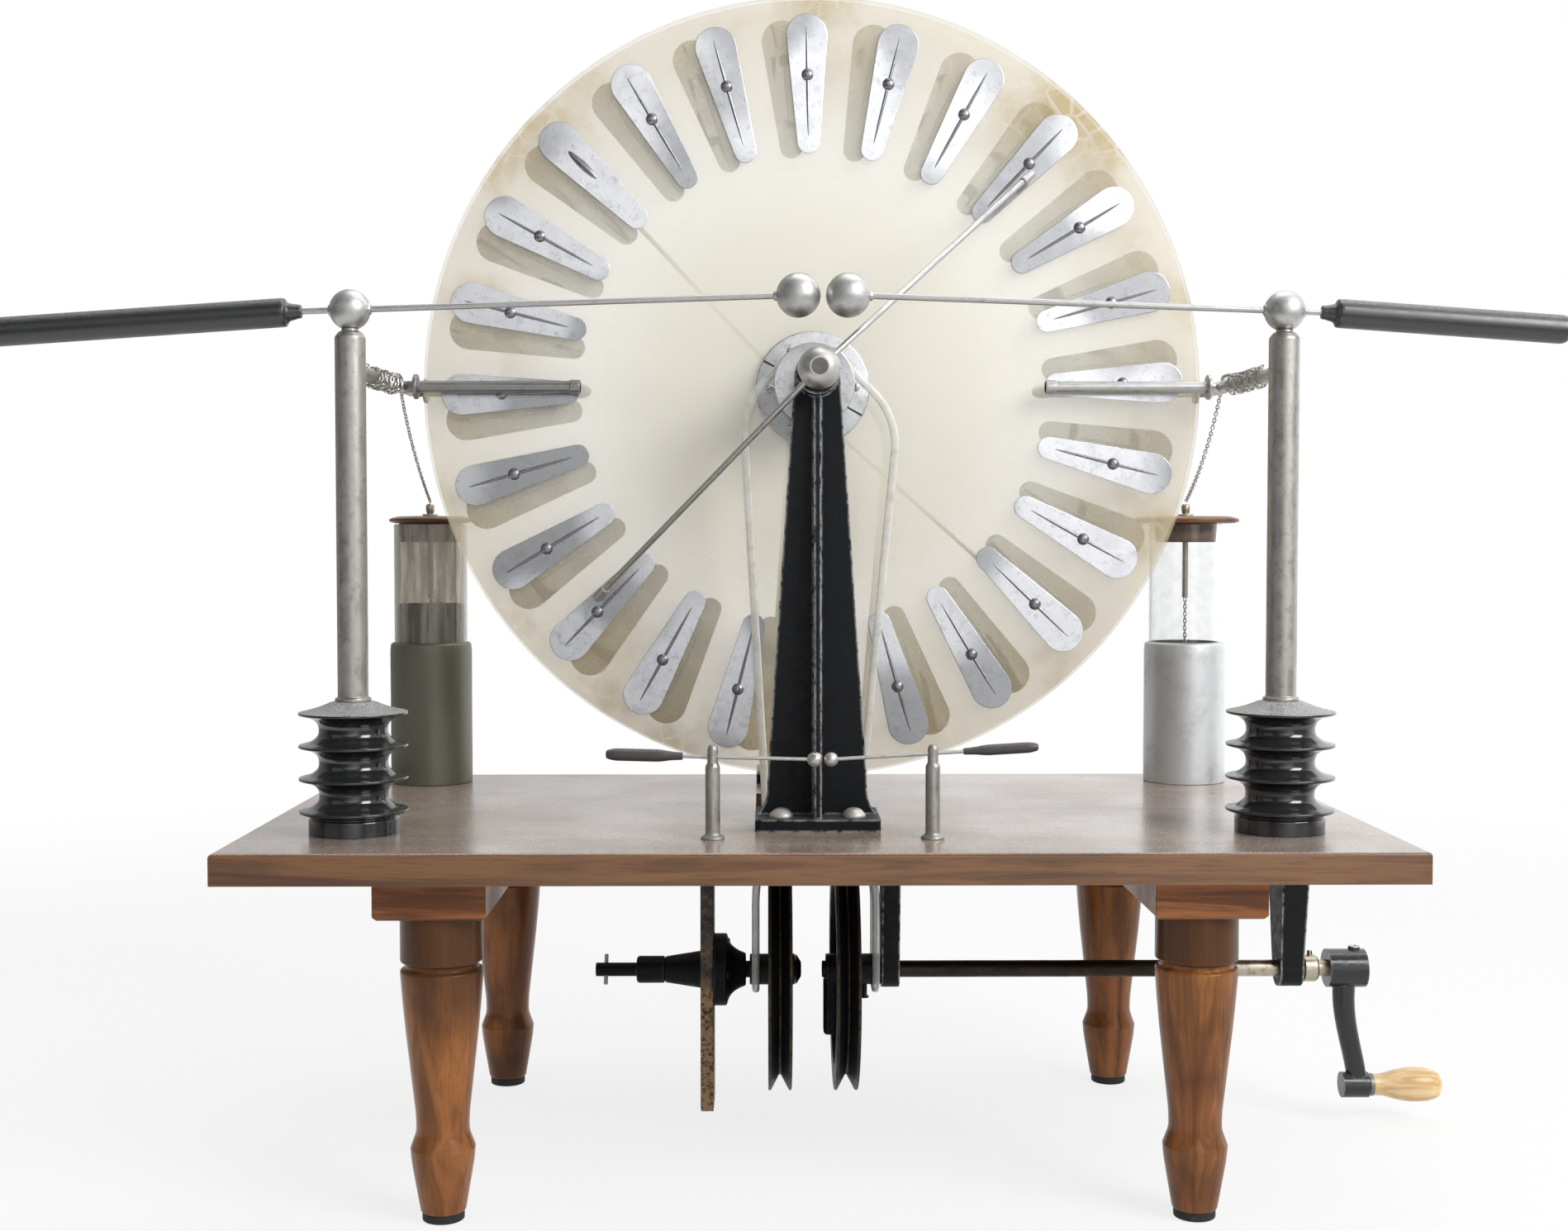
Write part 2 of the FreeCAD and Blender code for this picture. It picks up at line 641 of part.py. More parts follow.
def make_disc(name, facing):
    """A disc with a bore for its hub's spigot and a rounded rim."""
    disc = new_body(name)
    outline = sketch_on(disc, "XY_Plane", f"{name}_outline", size.disc_gap / 2)
    draw_circle(outline, 0, 0, size.disc_radius, "rim")
    draw_circle(outline, 0, 0, size.hub_spigot_radius + size.running_clearance, "bore")
    pad(disc, outline, size.disc_thickness)
    place(disc, z=size.axle_z, rotation=facing)


def make_sectors(name, facing, angle):
    """The ring of teardrop sectors, each with a rib and a domed stud."""
    sectors = new_body(name)
    small, large = size.sector_inner_round, size.sector_outer_round
    low = size.sector_inner + small
    high = size.sector_outer - large
    lean = (large - small) / (high - low)
    upright = root(as_size(1) - lean * lean)
    blade = sketch_on(sectors, "XY_Plane", f"{name}_blade", disc_face)
    draw_path(blade, [
        (small * upright, low - small * lean), (large * upright, high - large * lean, large),
        (0, high + large, large), (-(large * upright), high - large * lean),
        (-(small * upright), low - small * lean, small), (0, low - small, small),
    ])
    features = [pad(sectors, blade, size.sector_thickness)]
    rib = sketch_on(sectors, "XY_Plane", f"{name}_rib", disc_face)
    half = size.rib_width / 2
    draw_path(rib, rectangle(-half, half, size.rib_start, size.rib_end))
    features.append(pad(sectors, rib, size.sector_thickness + size.rib_height))
    stud = sketch_on(sectors, "YZ_Plane", f"{name}_stud")
    stud.setExpression("AttachmentOffset.Base.x", size.stud_place.text)
    top = disc_face + size.stud_height
    rim = disc_face + size.stud_rim
    draw_path(stud, [
        (0, disc_face), (size.stud_radius, disc_face),
        (size.stud_radius, rim, cap_radius(size.stud_radius, top - rim)), (0, top),
    ])
    features.append(turn(sectors, stud))
    around(sectors, features, size.sector_count)
    place(sectors, z=size.axle_z, rotation=facing * Rotation(Vector(0, 0, 1), angle.value))


def make_hub(name, facing):
    """A disc's hub: spigot, slotted flange with screws, sleeve and belt pulley."""
    back = disc_face + size.flange_thickness
    near, far = size.pulley_y - size.pulley_width / 2, size.pulley_y + size.pulley_width / 2
    grooved = pulley_groove(size.pulley_radius, pulley_belt_radius, size.pulley_y, belt_seat)
    hub = turned_body(name, [
        (axle_bore, size.disc_gap / 2), (size.hub_spigot_radius, size.disc_gap / 2),
        (size.hub_spigot_radius, disc_face), (size.flange_radius, disc_face),
        (size.flange_radius, back), (size.hub_sleeve_radius, back),
        (size.hub_sleeve_radius, near), (size.pulley_radius, near), *grooved,
        (size.pulley_radius, far), (size.collar_radius, far),
        (size.collar_radius, size.hub_end), (axle_bore, size.hub_end),
    ])
    for side, mark in ((LEFT, "low"), (RIGHT, "high")):
        slot = sketch_on(hub, "XY_Plane", f"{name}_{mark}_slot", back)
        inner = side * (size.hub_sleeve_radius + size.flange_slot)
        outer = side * (size.flange_radius + size.flange_slot)
        half = size.flange_slot / 2
        draw_path(slot, rectangle(inner, outer, -half, half))
        pocket(hub, slot, size.flange_thickness)
    screw = sketch_on(hub, "XY_Plane", f"{name}_screw", back)
    draw_circle(screw, size.hub_screw_circle * cosine(as_size(30)),
                size.hub_screw_circle * sine(as_size(30)), size.hub_screw_radius)
    head = pad(hub, screw, size.hub_screw_height)
    around(hub, [head], size.hub_screw_count)
    spin = Rotation(Vector(0, 0, 1), size.flange_slot_angle.value)
    place(hub, z=size.axle_z, rotation=facing * spin)


def make_rotors():
    """The two discs with their sectors and hubs, back to back."""
    front, rear = TOWARDS_FRONT, FACING_BACK * TOWARDS_FRONT
    for name, facing, angle in (
        ("front", front, size.sector_turn), ("rear", rear, -size.rear_sector_turn),
    ):
        make_disc(f"{name}_disc", facing)
        make_sectors(f"{name}_sectors", facing, angle)
        make_hub(f"{name}_hub", facing)


def way_between(start, end):
    """The distance between two points, and the turn that points Z along it."""
    reach = [as_size(b) - as_size(a) for a, b in zip(start, end)]
    length = root(reach[0] * reach[0] + reach[1] * reach[1] + reach[2] * reach[2])
    return length, Rotation(Vector(0, 0, 1), Vector(*[part.value for part in reach]))


def rod_between(name, start, end, radius):
    """A round rod from one point to another; the points are triples of Size."""
    length, towards = way_between(start, end)
    return primitive("Cylinder", name, towards, start, Radius=radius, Height=length)


def make_ball_rod(label, ball, butt, ball_radius, rod_radius, extra):
    """A rod turned in one piece with the ball on its inner end."""
    length, towards = way_between(ball, butt)
    neck = root(ball_radius * ball_radius - rod_radius * rod_radius)
    rod = turned_body(label, [
        (0, -ball_radius, ball_radius), (ball_radius, 0, ball_radius), (rod_radius, neck),
        (rod_radius, length + extra), (0, length + extra),
    ])
    place(rod, *ball, towards)


def make_neutraliser(name, rotation):
    """A ball on the axle's end with a rod slanting back to a tinsel brush each way."""
    middle = (as_size(0), -size.neutral_ball_y, size.axle_z)
    ball = primitive("Sphere", f"{name}_ball", centre=middle, Radius=size.neutral_ball_radius)
    solids = [ball]
    tip = disc_face + size.stud_height + size.brush_clearance
    for way, mark in ((1, "high"), (-1, "low")):
        across = way * size.neutral_reach * cosine(size.neutral_angle)
        up = way * size.neutral_reach * sine(size.neutral_angle)
        end = (across, -size.neutral_reach_y, size.axle_z + up)
        solids.append(rod_between(f"{name}_{mark}_rod", middle, end, size.neutral_rod_radius))
        solids.append(primitive("Sphere", f"{name}_{mark}_clip", centre=end,
                                Radius=size.brush_clip_radius))
        solids.append(primitive("Cone", f"{name}_{mark}_brush", TOWARDS_BACK, end,
                                Radius1=size.neutral_rod_radius, Radius2=size.brush_radius,
                                Height=size.neutral_reach_y - tip))
    whole = joined(f"{name}_solid", solids)
    bore = primitive("Cylinder", f"{name}_bore", TOWARDS_FRONT,
                     (0, -size.column_y, size.axle_z), Radius=axle_bore,
                     Height=size.neutral_ball_y)
    place(cut(name, whole, bore), rotation=rotation)


def make_neutralisers():
    """The two neutralisers, crossing each other."""
    make_neutraliser("front_neutraliser", UPRIGHT)
    make_neutraliser("rear_neutraliser", FACING_BACK)


def insulator_path():
    """The turned outline of an insulator: a base, sharp fins on a core, and a cone on top."""
    base, core, fin = size.insulator_base, size.insulator_core, size.insulator_fin
    lip = size.fin_lip / 2
    path = [(0, 0), (base, 0), (base, size.insulator_base_height - size.fin_lip),
            (base - size.fin_lip, size.insulator_base_height)]
    for number in range(DRIVING_SIZES["fin_count"]):
        middle = size.fin_low + number * size.fin_pitch
        if number:
            path.append((core, middle - size.fin_drop, -size.fin_curve))
        path += [(fin, middle - lip), (fin, middle + lip, -size.fin_curve),
                 (core, middle + size.fin_drop)]
    path[-1] = (size.insulator_top_radius, size.insulator_height)
    return path + [(0, size.insulator_height)]


def make_post(side, name):
    """An insulator with a metal post on it; the comb's arm enters a hole in the post's back."""
    insulator = turned_body(f"{name}_insulator", insulator_path())
    place(insulator, side * size.post_x, -size.post_y, board_top)
    low = board_top + size.insulator_height
    high = size.terminal_z - size.terminal_flat - size.seat_gap
    rise = high - low
    shoulder = rise - size.post_neck_length
    post = turned_body(f"{name}_post", [
        (0, 0), (size.post_radius, 0), (size.post_radius, shoulder - size.post_chamfer),
        (size.post_neck_radius, shoulder), (size.post_neck_radius, rise),
        (size.post_pin_radius, rise), (size.post_pin_radius, rise + size.post_pin_height),
        (0, rise + size.post_pin_height),
    ])
    hole = sketch_on(post, "XZ_Plane", f"{name}_arm_hole")
    draw_circle(hole, 0, size.axle_z - low, size.comb_arm_radius + size.arm_hole_clearance)
    pocket(post, hole, size.post_radius * 2)
    place(post, side * size.post_x, -size.post_y, low)


def make_terminal(side, name, gap_x, gap_radius, handle_start, handle_end):
    """A swivelling terminal ball, the rod that slides through it, its gap ball and handle."""
    middle = (side * size.post_x, -size.post_y, size.terminal_z)
    gap = (side * gap_x, -size.post_y, size.gap_ball_z)
    lean = (size.gap_ball_z - size.terminal_z) / (size.post_x - gap_x)
    start = (side * handle_start, -size.post_y,
             size.terminal_z - lean * (handle_start - size.post_x))
    radius, flat = size.terminal_radius, size.terminal_flat
    flat_radius = root(radius * radius - flat * flat)
    pin = size.post_pin_radius + size.running_clearance
    depth = size.post_pin_height + size.end_play
    ball = turned_body(f"{name}_ball_blank", [
        (pin, -flat), (flat_radius, -flat, radius), (radius, 0, radius), (0, radius),
        (0, depth - flat), (pin, depth - flat),
    ])
    ball.Placement.Base = Vector(*[as_size(spot).value for spot in middle])
    bore = rod_between(f"{name}_rod_bore", gap, start, size.rod_radius + size.running_clearance)
    place(cut(f"{name}_terminal_ball", ball, bore))
    make_ball_rod(f"{name}_discharge_rod", gap, start, gap_radius, size.rod_radius,
                  size.handle_bore_depth)
    length = handle_end - handle_start
    bore_radius = size.rod_radius + size.handle_bore_clearance
    collar = size.handle_collar_length
    end = size.handle_radius - size.handle_end_round
    handle = turned_body(f"{name}_handle", [
        (bore_radius, 0), (size.handle_collar_radius, 0),
        (size.handle_collar_radius + size.handle_collar_flare, collar),
        (size.handle_radius - size.handle_collar_flare, collar + size.handle_collar_flare),
        (size.handle_radius, collar + size.handle_end_round),
        (size.handle_radius, length - size.handle_end_round, size.handle_end_round),
        (end, length), (0, length),
        (0, size.handle_bore_depth + size.end_play),
        (bore_radius, size.handle_bore_depth + size.end_play),
    ])
    droop = math.degrees(math.atan(lean.value)) + size.handle_droop.value
    outward = Rotation(Vector(0, 1, 0), side * (90 + droop))
    place(handle, *start, outward)


def make_dischargers():
    """Both insulated posts with their terminals, rods and handles."""
    make_post(LEFT, "left")
    make_post(RIGHT, "right")
    make_terminal(LEFT, "left", size.left_gap_x, size.gap_ball_radius,
                  size.left_handle_start, size.left_handle_end)
    make_terminal(RIGHT, "right", size.right_gap_x, size.gap_ball_radius,
                  size.right_handle_start, size.right_handle_end)


def pipe_on(body, spine, radius, name):
    """A round pipe along a spine sketch of the same body."""
    doc.recompute()
    ring = body.newObject("Sketcher::SketchObject", f"{name}_ring")
    ring.AttachmentSupport = [(spine, "Edge1")]
    ring.MapMode = "NormalToEdge"
    draw_circle(ring, 0, 0, radius)
    doc.recompute()
    pipe = body.newObject("PartDesign::AdditivePipe", f"{name}_pipe")
    pipe.Profile = ring
    pipe.Spine = (spine, [f"Edge{n}" for n in range(1, len(spine.Shape.Edges) + 1)])
    return pipe


def make_comb(side, name):
    """A comb: a fork of two tubes round the discs' rim, held by an arm from the post."""
    comb = new_body(name)
    inner, outer = side * size.comb_inner_x, side * size.comb_outer_x
    bend = size.comb_bend
    turn_side = side * bend
    spine = sketch_on(comb, "XY_Plane", f"{name}_spine")
    draw_path(spine, [
        (inner, -size.comb_y), (outer - turn_side, -size.comb_y, turn_side),
        (outer, bend - size.comb_y), (outer, size.comb_y - bend, turn_side),
        (outer - turn_side, size.comb_y), (inner, size.comb_y),
    ], closed=False)
    pipe_on(comb, spine, size.comb_radius, name)
    arm = sketch_on(comb, "XY_Plane", f"{name}_arm")
    from_post = size.arm_in_post - size.post_y
    draw_path(arm, [(side * size.post_x, from_post), (outer, bend - size.comb_y)], closed=False)
    pipe_on(comb, arm, size.comb_arm_radius, f"{name}_arm")
    for y, mark in ((-size.comb_y, "front"), (size.comb_y, "rear")):
        tip = sketch_on(comb, "YZ_Plane", f"{name}_{mark}_tip", inner)
        draw_circle(tip, y, 0, size.comb_tip_radius)
        pad(comb, tip, size.comb_tip_length, reverse=side < 0)
        ferrule = sketch_on(comb, "YZ_Plane", f"{name}_{mark}_ferrule", outer - turn_side)
        draw_circle(ferrule, y, 0, size.ferrule_radius)
        pad(comb, ferrule, size.ferrule_width, reverse=side > 0)
    place(comb, z=size.axle_z)


def make_combs():
    """Both combs and the points that face the discs."""
    make_comb(LEFT, "left_comb")
    make_comb(RIGHT, "right_comb")
    point = primitive("Cone", "comb_point", Radius1=size.point_radius,
                      Radius2=size.point_radius / 4, Height=size.point_length)
    root_y = size.comb_y - size.comb_radius
    spots = []
    for side in (LEFT, RIGHT):
        for number in range(DRIVING_SIZES["point_count"]):
            x = side * (size.point_first + number * size.point_pitch).value
            front = Vector(x, -root_y.value, size.axle_z.value)
            rear = Vector(x, root_y.value, size.axle_z.value)
            spots.append(Placement(front, TOWARDS_BACK))
            spots.append(Placement(rear, TOWARDS_FRONT))
    place(copies("comb_points", point, spots))


def make_jar(side, name, lid_radius):
    """A Leyden jar: glass and wooden lid."""
    rise = size.jar_top - board_top
    radius, wall = size.jar_radius, size.jar_wall
    glass = turned_body(f"{name}_jar_glass", [
        (0, 0), (radius, 0), (radius, rise - wall / 2, wall / 2), (radius - wall / 2, rise),
        (radius - wall, rise - wall / 2), (radius - wall, wall), (0, wall),
    ])
    place(glass, side * size.jar_x, size.jar_y, board_top)
    edge = size.lid_thickness / 4
    bore = size.jar_rod_radius + size.running_clearance
    lid = turned_body(f"{name}_jar_lid", [
        (bore, -size.stopper_length), (size.stopper_radius - edge, -size.stopper_length),
        (size.stopper_radius, 0), (lid_radius - edge, 0), (lid_radius, edge),
        (lid_radius, size.lid_thickness - edge), (lid_radius - edge, size.lid_thickness),
        (bore, size.lid_thickness),
    ])
    place(lid, side * size.jar_x, size.jar_y, size.jar_top)


def tube_solid(name, outer, inner, height, centre):
    """An open tube as one cylinder cut from another."""
    outside = primitive("Cylinder", f"{name}_outside", centre=centre, Radius=outer, Height=height)
    inside = primitive("Cylinder", f"{name}_inside", centre=centre, Radius=inner, Height=height)
    return cut(name, outside, inside)


def make_jars():
    """Both jars with their coatings, linings, lids and rods."""
    make_jar(LEFT, "left", size.left_lid_radius)
    make_jar(RIGHT, "right", size.right_lid_radius)
    coating = turned_body("jar_coating", [
        (size.jar_radius + size.foil_clearance, 0), (size.foil_radius, 0),
        (size.foil_radius, size.foil_height - size.foil_bead, size.foil_bead * 1.5),
        (size.jar_radius + size.foil_clearance, size.foil_height),
    ])
    spots = [
        Placement(Vector((side * size.jar_x).value, size.jar_y.value, board_top.value), UPRIGHT)
        for side in (LEFT, RIGHT)
    ]
    place(copies("jar_coatings", coating, spots))
    outer = size.jar_radius - size.jar_wall - size.foil_clearance
    linings = [
        tube_solid(f"{name}_lining", outer, outer - size.lining_wall, height,
                   (side * size.jar_x, size.jar_y, board_top + size.jar_wall))
        for side, name, height in (
            (LEFT, "left", size.lining_left), (RIGHT, "right", size.foil_height),
        )
    ]
    place(group("jar_linings", linings))
    knob = size.jar_knob_radius
    neck_rise = root(knob * knob - size.jar_rod_radius * size.jar_rod_radius)
    knob_middle = size.jar_rod_top - knob
    rod = turned_body("jar_rod", [
        (0, board_top + size.jar_wall + size.seat_gap),
        (size.jar_chain_radius, board_top + size.jar_wall + size.seat_gap),
        (size.jar_chain_radius, size.jar_rod_low), (size.jar_rod_radius, size.jar_rod_low),
        (size.jar_rod_radius, knob_middle - neck_rise, knob), (knob, knob_middle, knob),
        (0, size.jar_rod_top),
    ])
    spots = [
        Placement(Vector((side * size.jar_x).value, size.jar_y.value, 0), UPRIGHT)
        for side in (LEFT, RIGHT)
    ]
    place(copies("jar_rods", rod, spots))


def make_lead(side, name):
    """A fine chain wound round the comb's arm, then hanging in a curve to the jar's knob."""
    arm_start = Vector(side * size.post_x.value, -size.post_y.value, size.axle_z.value)
    arm_end = Vector(side * size.comb_outer_x.value, (size.comb_bend - size.comb_y).value,
                     size.axle_z.value)
    along = (arm_end - arm_start).normalize()
    across = along.cross(Vector(0, 0, 1)).normalize()
    clear = size.comb_arm_radius.value + size.lead_radius.value + size.end_play.value
    corners_per_turn = 6
    reach = clear / math.cos(math.pi / corners_per_turn)
    steps = DRIVING_SIZES["lead_turns"] * corners_per_turn + 1
    first = size.post_y.value - size.lead_start_y.value
    corners = []
    for step in range(steps):
        angle = math.pi / 2 + 2 * math.pi * step / corners_per_turn
        travel = first + size.lead_pitch.value * step / corners_per_turn
        round_arm = across * (math.cos(angle) * reach) + Vector(0, 0, math.sin(angle) * reach)
        corners.append(arm_start + along * travel + round_arm)
    knob = Vector(side * size.jar_x.value, size.jar_y.value,
                  size.jar_rod_top.value + size.lead_above_knob.value)
    drop = [(2, -24, 8.8), (4, -6, 8.6), (7.5, 10, 6), (9, 26, -7), (6, 46, -38), (3, 82, -70)]
    corners += [
        Vector(side * (size.comb_outer_x.value + out), y, size.axle_z.value + up)
        for out, y, up in drop
    ]
    route = rounded_wire(fit_bends(corners + [knob]))
    place(formed(name, tube_along(route, size.lead_radius.value)))


def fit_bends(corners):
    """Give each corner an arc as large as 0.45 of the shorter run beside it allows."""
    fitted = [(corners[0], 0)]
    for before, here, after in zip(corners, corners[1:], corners[2:]):
        back = before - here
        ahead = after - here
        half = back.getAngle(ahead) / 2
        fitted.append((here, 0.45 * min(back.Length, ahead.Length) * math.tan(half)))
    return fitted + [(corners[-1], 0)]


def make_gauge(side, name, x, ball_x, ball_radius, slope, start, end, handle_radius):
    """One side of the spark gauge: a post and the rod that slides in it, with its handle."""
    lean = sine(slope) / cosine(slope)
    ball = (ball_x, -size.gauge_y, size.gauge_ball_z)
    reach = start - side * ball_x
    butt = (side * start, -size.gauge_y, size.gauge_ball_z + lean * reach)
    top = size.gauge_post_height + size.gauge_head_height
    bead = size.gauge_head_radius / 2
    blank = turned_body(f"{name}_gauge_blank", [
        (0, 0), (size.gauge_foot_radius, 0), (size.gauge_foot_radius, size.gauge_foot_height / 2),
        (size.gauge_post_radius, size.gauge_foot_height),
        (size.gauge_post_radius, size.gauge_post_height - 1),
        (size.gauge_head_radius, size.gauge_post_height), (size.gauge_head_radius, top - bead),
        (bead, top), (0, top),
    ])
    blank.Placement.Base = Vector((side * x).value, -size.gauge_y.value, board_top.value)
    bore = rod_between(f"{name}_gauge_bore", ball, butt,
                       size.gauge_rod_radius + size.running_clearance)
    place(cut(f"{name}_gauge_post", blank, bore))
    make_ball_rod(f"{name}_gauge_rod", ball, butt, ball_radius, size.gauge_rod_radius,
                  size.gauge_bore_depth)
    length = end - start
    bore_radius = size.gauge_rod_radius + size.running_clearance
    handle = turned_body(f"{name}_gauge_handle", [
        (bore_radius, 0), (handle_radius * 0.62, 0), (handle_radius, length * 0.3),
        (handle_radius, length - handle_radius / 2, handle_radius / 2),
        (handle_radius / 2, length), (0, length),
        (0, size.gauge_bore_depth + size.end_play),
        (bore_radius, size.gauge_bore_depth + size.end_play),
    ])
    outward = Rotation(Vector(0, 1, 0), side * (90 - slope.value))
    place(handle, *butt, outward)


def make_gauges():
    """Both sides of the spark gauge in front of the column."""
    make_gauge(LEFT, "left", size.left_gauge_x, size.left_gauge_ball_x, size.left_gauge_ball,
               size.left_gauge_slope, size.left_gauge_handle_start, size.left_gauge_handle_end,
               size.left_gauge_handle)
    make_gauge(RIGHT, "right", size.right_gauge_x, size.right_gauge_ball_x,
               size.right_gauge_ball, size.right_gauge_slope, size.right_gauge_handle_start,
               size.right_gauge_handle_end, size.right_gauge_handle)


def wheel_path(near, far):
    """A grooved wheel's outline from its hub's near end to its far end, along the shaft."""
    half, web = size.wheel_width / 2, size.wheel_web / 2
    rim = size.wheel_radius
    inside = rim - size.wheel_rim_depth
    seat = rim - size.wheel_groove_depth + belt_seat
    flat = size.wheel_rim_flat
    flank = half - flat
    offset = belt_seat * HALF_RIGHT_ANGLE
    low = seat - offset
    return [
        (shaft_bore, near), (size.hub_radius, near), (size.hub_radius, -web), (inside, -web),
        (inside, -half), (rim, -half), (rim, -flank), (low, -offset, -belt_seat), (low, offset),
        (rim, flank), (rim, half), (inside, half), (inside, web), (size.hub_radius, web),
        (size.hub_radius, far), (shaft_bore, far),
    ]


def make_crank_wheel():
    """The driving wheel with its hub, set screw and short dog arm."""
    near = size.wheel_hub_inner - size.wheel_x
    wheel = turned_body("crank_wheel", wheel_path(near, size.right_hub_outer - size.wheel_x))
    screw_x = size.set_screw_x - size.wheel_x
    shank = primitive("Cylinder", "set_screw_shank", ALONG_X, (0, 0, screw_x),
                      Radius=size.set_screw_radius,
                      Height=size.hub_radius + size.set_screw_length)
    head = primitive("Cylinder", "set_screw_head", ALONG_X,
                     (size.hub_radius + size.set_screw_length, 0, screw_x),
                     Radius=size.set_screw_head, Height=size.set_screw_head / 2)
    dog = new_body("dog_arm")
    half_depth, half_width = size.dog_depth / 2, size.dog_width / 2
    outline = sketch_on(dog, "YZ_Plane", "dog_outline")
    draw_path(outline, rectangle(-half_depth, half_depth, -half_width, half_width))
    pad(dog, outline, size.dog_length)
    soften(dog, "Fillet", lambda e: e.BoundBox.XMin > size.dog_length.value - 0.01
           and e.BoundBox.ZLength > half_width.value, size.dog_round)
    dog.Placement.Base = Vector(0, 0, (size.dog_x - size.wheel_x).value)
    bore = primitive("Cylinder", "crank_wheel_bore", centre=(0, 0, -size.wheel_radius),
                     Radius=shaft_bore, Height=size.wheel_radius * 2)
    wheel.Label = "crank_wheel_blank"
    whole = joined("crank_wheel_solid", [wheel, shank, head, dog])
    return place(cut("crank_wheel", whole, bore), size.wheel_x, 0, size.shaft_z, ALONG_X)


def make_shaft_train():
    """The crank shaft with its wheel, collar, S-shaped crank arm and turning grip."""
    end = size.crank_hub_x + size.crank_hub_length / 2
    start = size.wheel_hub_inner - size.end_play * 10
    shaft = turned_body("crank_shaft", [
        (0, start), (size.shaft_radius, start), (size.shaft_radius, end), (0, end),
    ])
    place(shaft, z=size.shaft_z, rotation=ALONG_X)
    make_crank_wheel()
    half = size.shaft_collar_width / 2
    edge = size.shaft_collar_width / 8
    collar = turned_body("collar_ring", [
        (shaft_bore, -half), (size.shaft_collar_radius, -half),
        (size.shaft_collar_radius, half - edge), (size.shaft_collar_radius - edge, half),
        (shaft_bore, half),
    ])
    screw = primitive("Cylinder", "collar_screw", ALONG_MINUS_X,
                      (-size.shaft_radius - size.running_clearance * 2, 0, 0),
                      Radius=size.set_screw_radius,
                      Height=size.shaft_collar_radius - size.shaft_radius + size.set_screw_head)
    place(joined("shaft_collar", [collar, screw]), size.collar_x, 0, size.shaft_z, ALONG_X)
    make_crank_arm()
    make_grip()


def make_crank_arm():
    """The crank: a hub on the shaft, a lofted S-shaped arm, and a boss with the spindle."""
    arm = new_body("crank_arm")
    hub_start = size.crank_hub_x - size.crank_hub_length / 2
    hub = sketch_on(arm, "YZ_Plane", "crank_hub_circle", hub_start)
    pad(arm, draw_circle(hub, 0, 0, size.crank_hub_radius), size.crank_hub_length)
    stations = [
        (0.08, 0, 1.1), (0.32, -0.4, 1.05), (0.58, 3.4, 1), (0.8, 8, 0.98), (0.97, 10.5, 0.95),
    ]
    rings = []
    for number, (share, shift, thickness) in enumerate(stations):
        depth = -(size.crank_throw * share)
        ring = sketch_on(arm, "XY_Plane", f"arm_ring_{number}", depth)
        draw_circle(ring, size.crank_hub_x + shift, 0, size.crank_arm_radius * thickness)
        rings.append(ring)
    loft = arm.newObject("PartDesign::AdditiveLoft", "arm_loft")
    loft.Profile = rings[0]
    loft.Sections = rings[1:]
    boss_start = size.crank_boss_x - size.crank_boss_length / 2
    boss = sketch_on(arm, "YZ_Plane", "crank_boss_circle", boss_start)
    pad(arm, draw_circle(boss, 0, -size.crank_throw, size.crank_boss_radius),
        size.crank_boss_length)
    spindle = sketch_on(arm, "YZ_Plane", "spindle_circle",
                        size.crank_boss_x + size.crank_boss_length / 2)
    pad(arm, draw_circle(spindle, 0, -size.crank_throw, size.spindle_radius),
        size.spindle_reach)
    screw = sketch_on(arm, "XY_Plane", "crank_screw_circle")
    draw_circle(screw, size.crank_hub_x + size.crank_screw_shift, 0, size.crank_screw_radius)
    pad(arm, screw, size.crank_hub_radius + size.crank_screw_rise)
    bore = sketch_on(arm, "YZ_Plane", "crank_bore_circle", hub_start)
    draw_circle(bore, 0, 0, shaft_bore)
    pocket(arm, bore, size.crank_hub_length, reverse=True)
    place(arm, z=size.shaft_z)


def make_grip():
    """The turned wooden grip that spins on the crank's spindle."""
    bore = size.spindle_radius + size.running_clearance
    depth = size.spindle_reach + size.end_play
    neck, belly, middle = size.grip_neck_radius, size.grip_belly_radius, size.grip_belly
    length = size.grip_length
    end, end_rise = belly * 0.62, length * 0.04
    grip = turned_body("crank_grip", [
        (bore, 0), (neck, 0), (neck + 0.3, length * 0.14, -length),
        (belly * 0.9, middle * 0.66, length * 0.8), (belly, middle, length * 0.35),
        (end, length - end_rise, cap_radius(end, end_rise)), (0, length), (0, depth),
        (bore, depth),
    ])
    start = size.crank_boss_x + size.crank_boss_length / 2 + size.end_play
    place(grip, start, 0, size.shaft_z - size.crank_throw, ALONG_X)


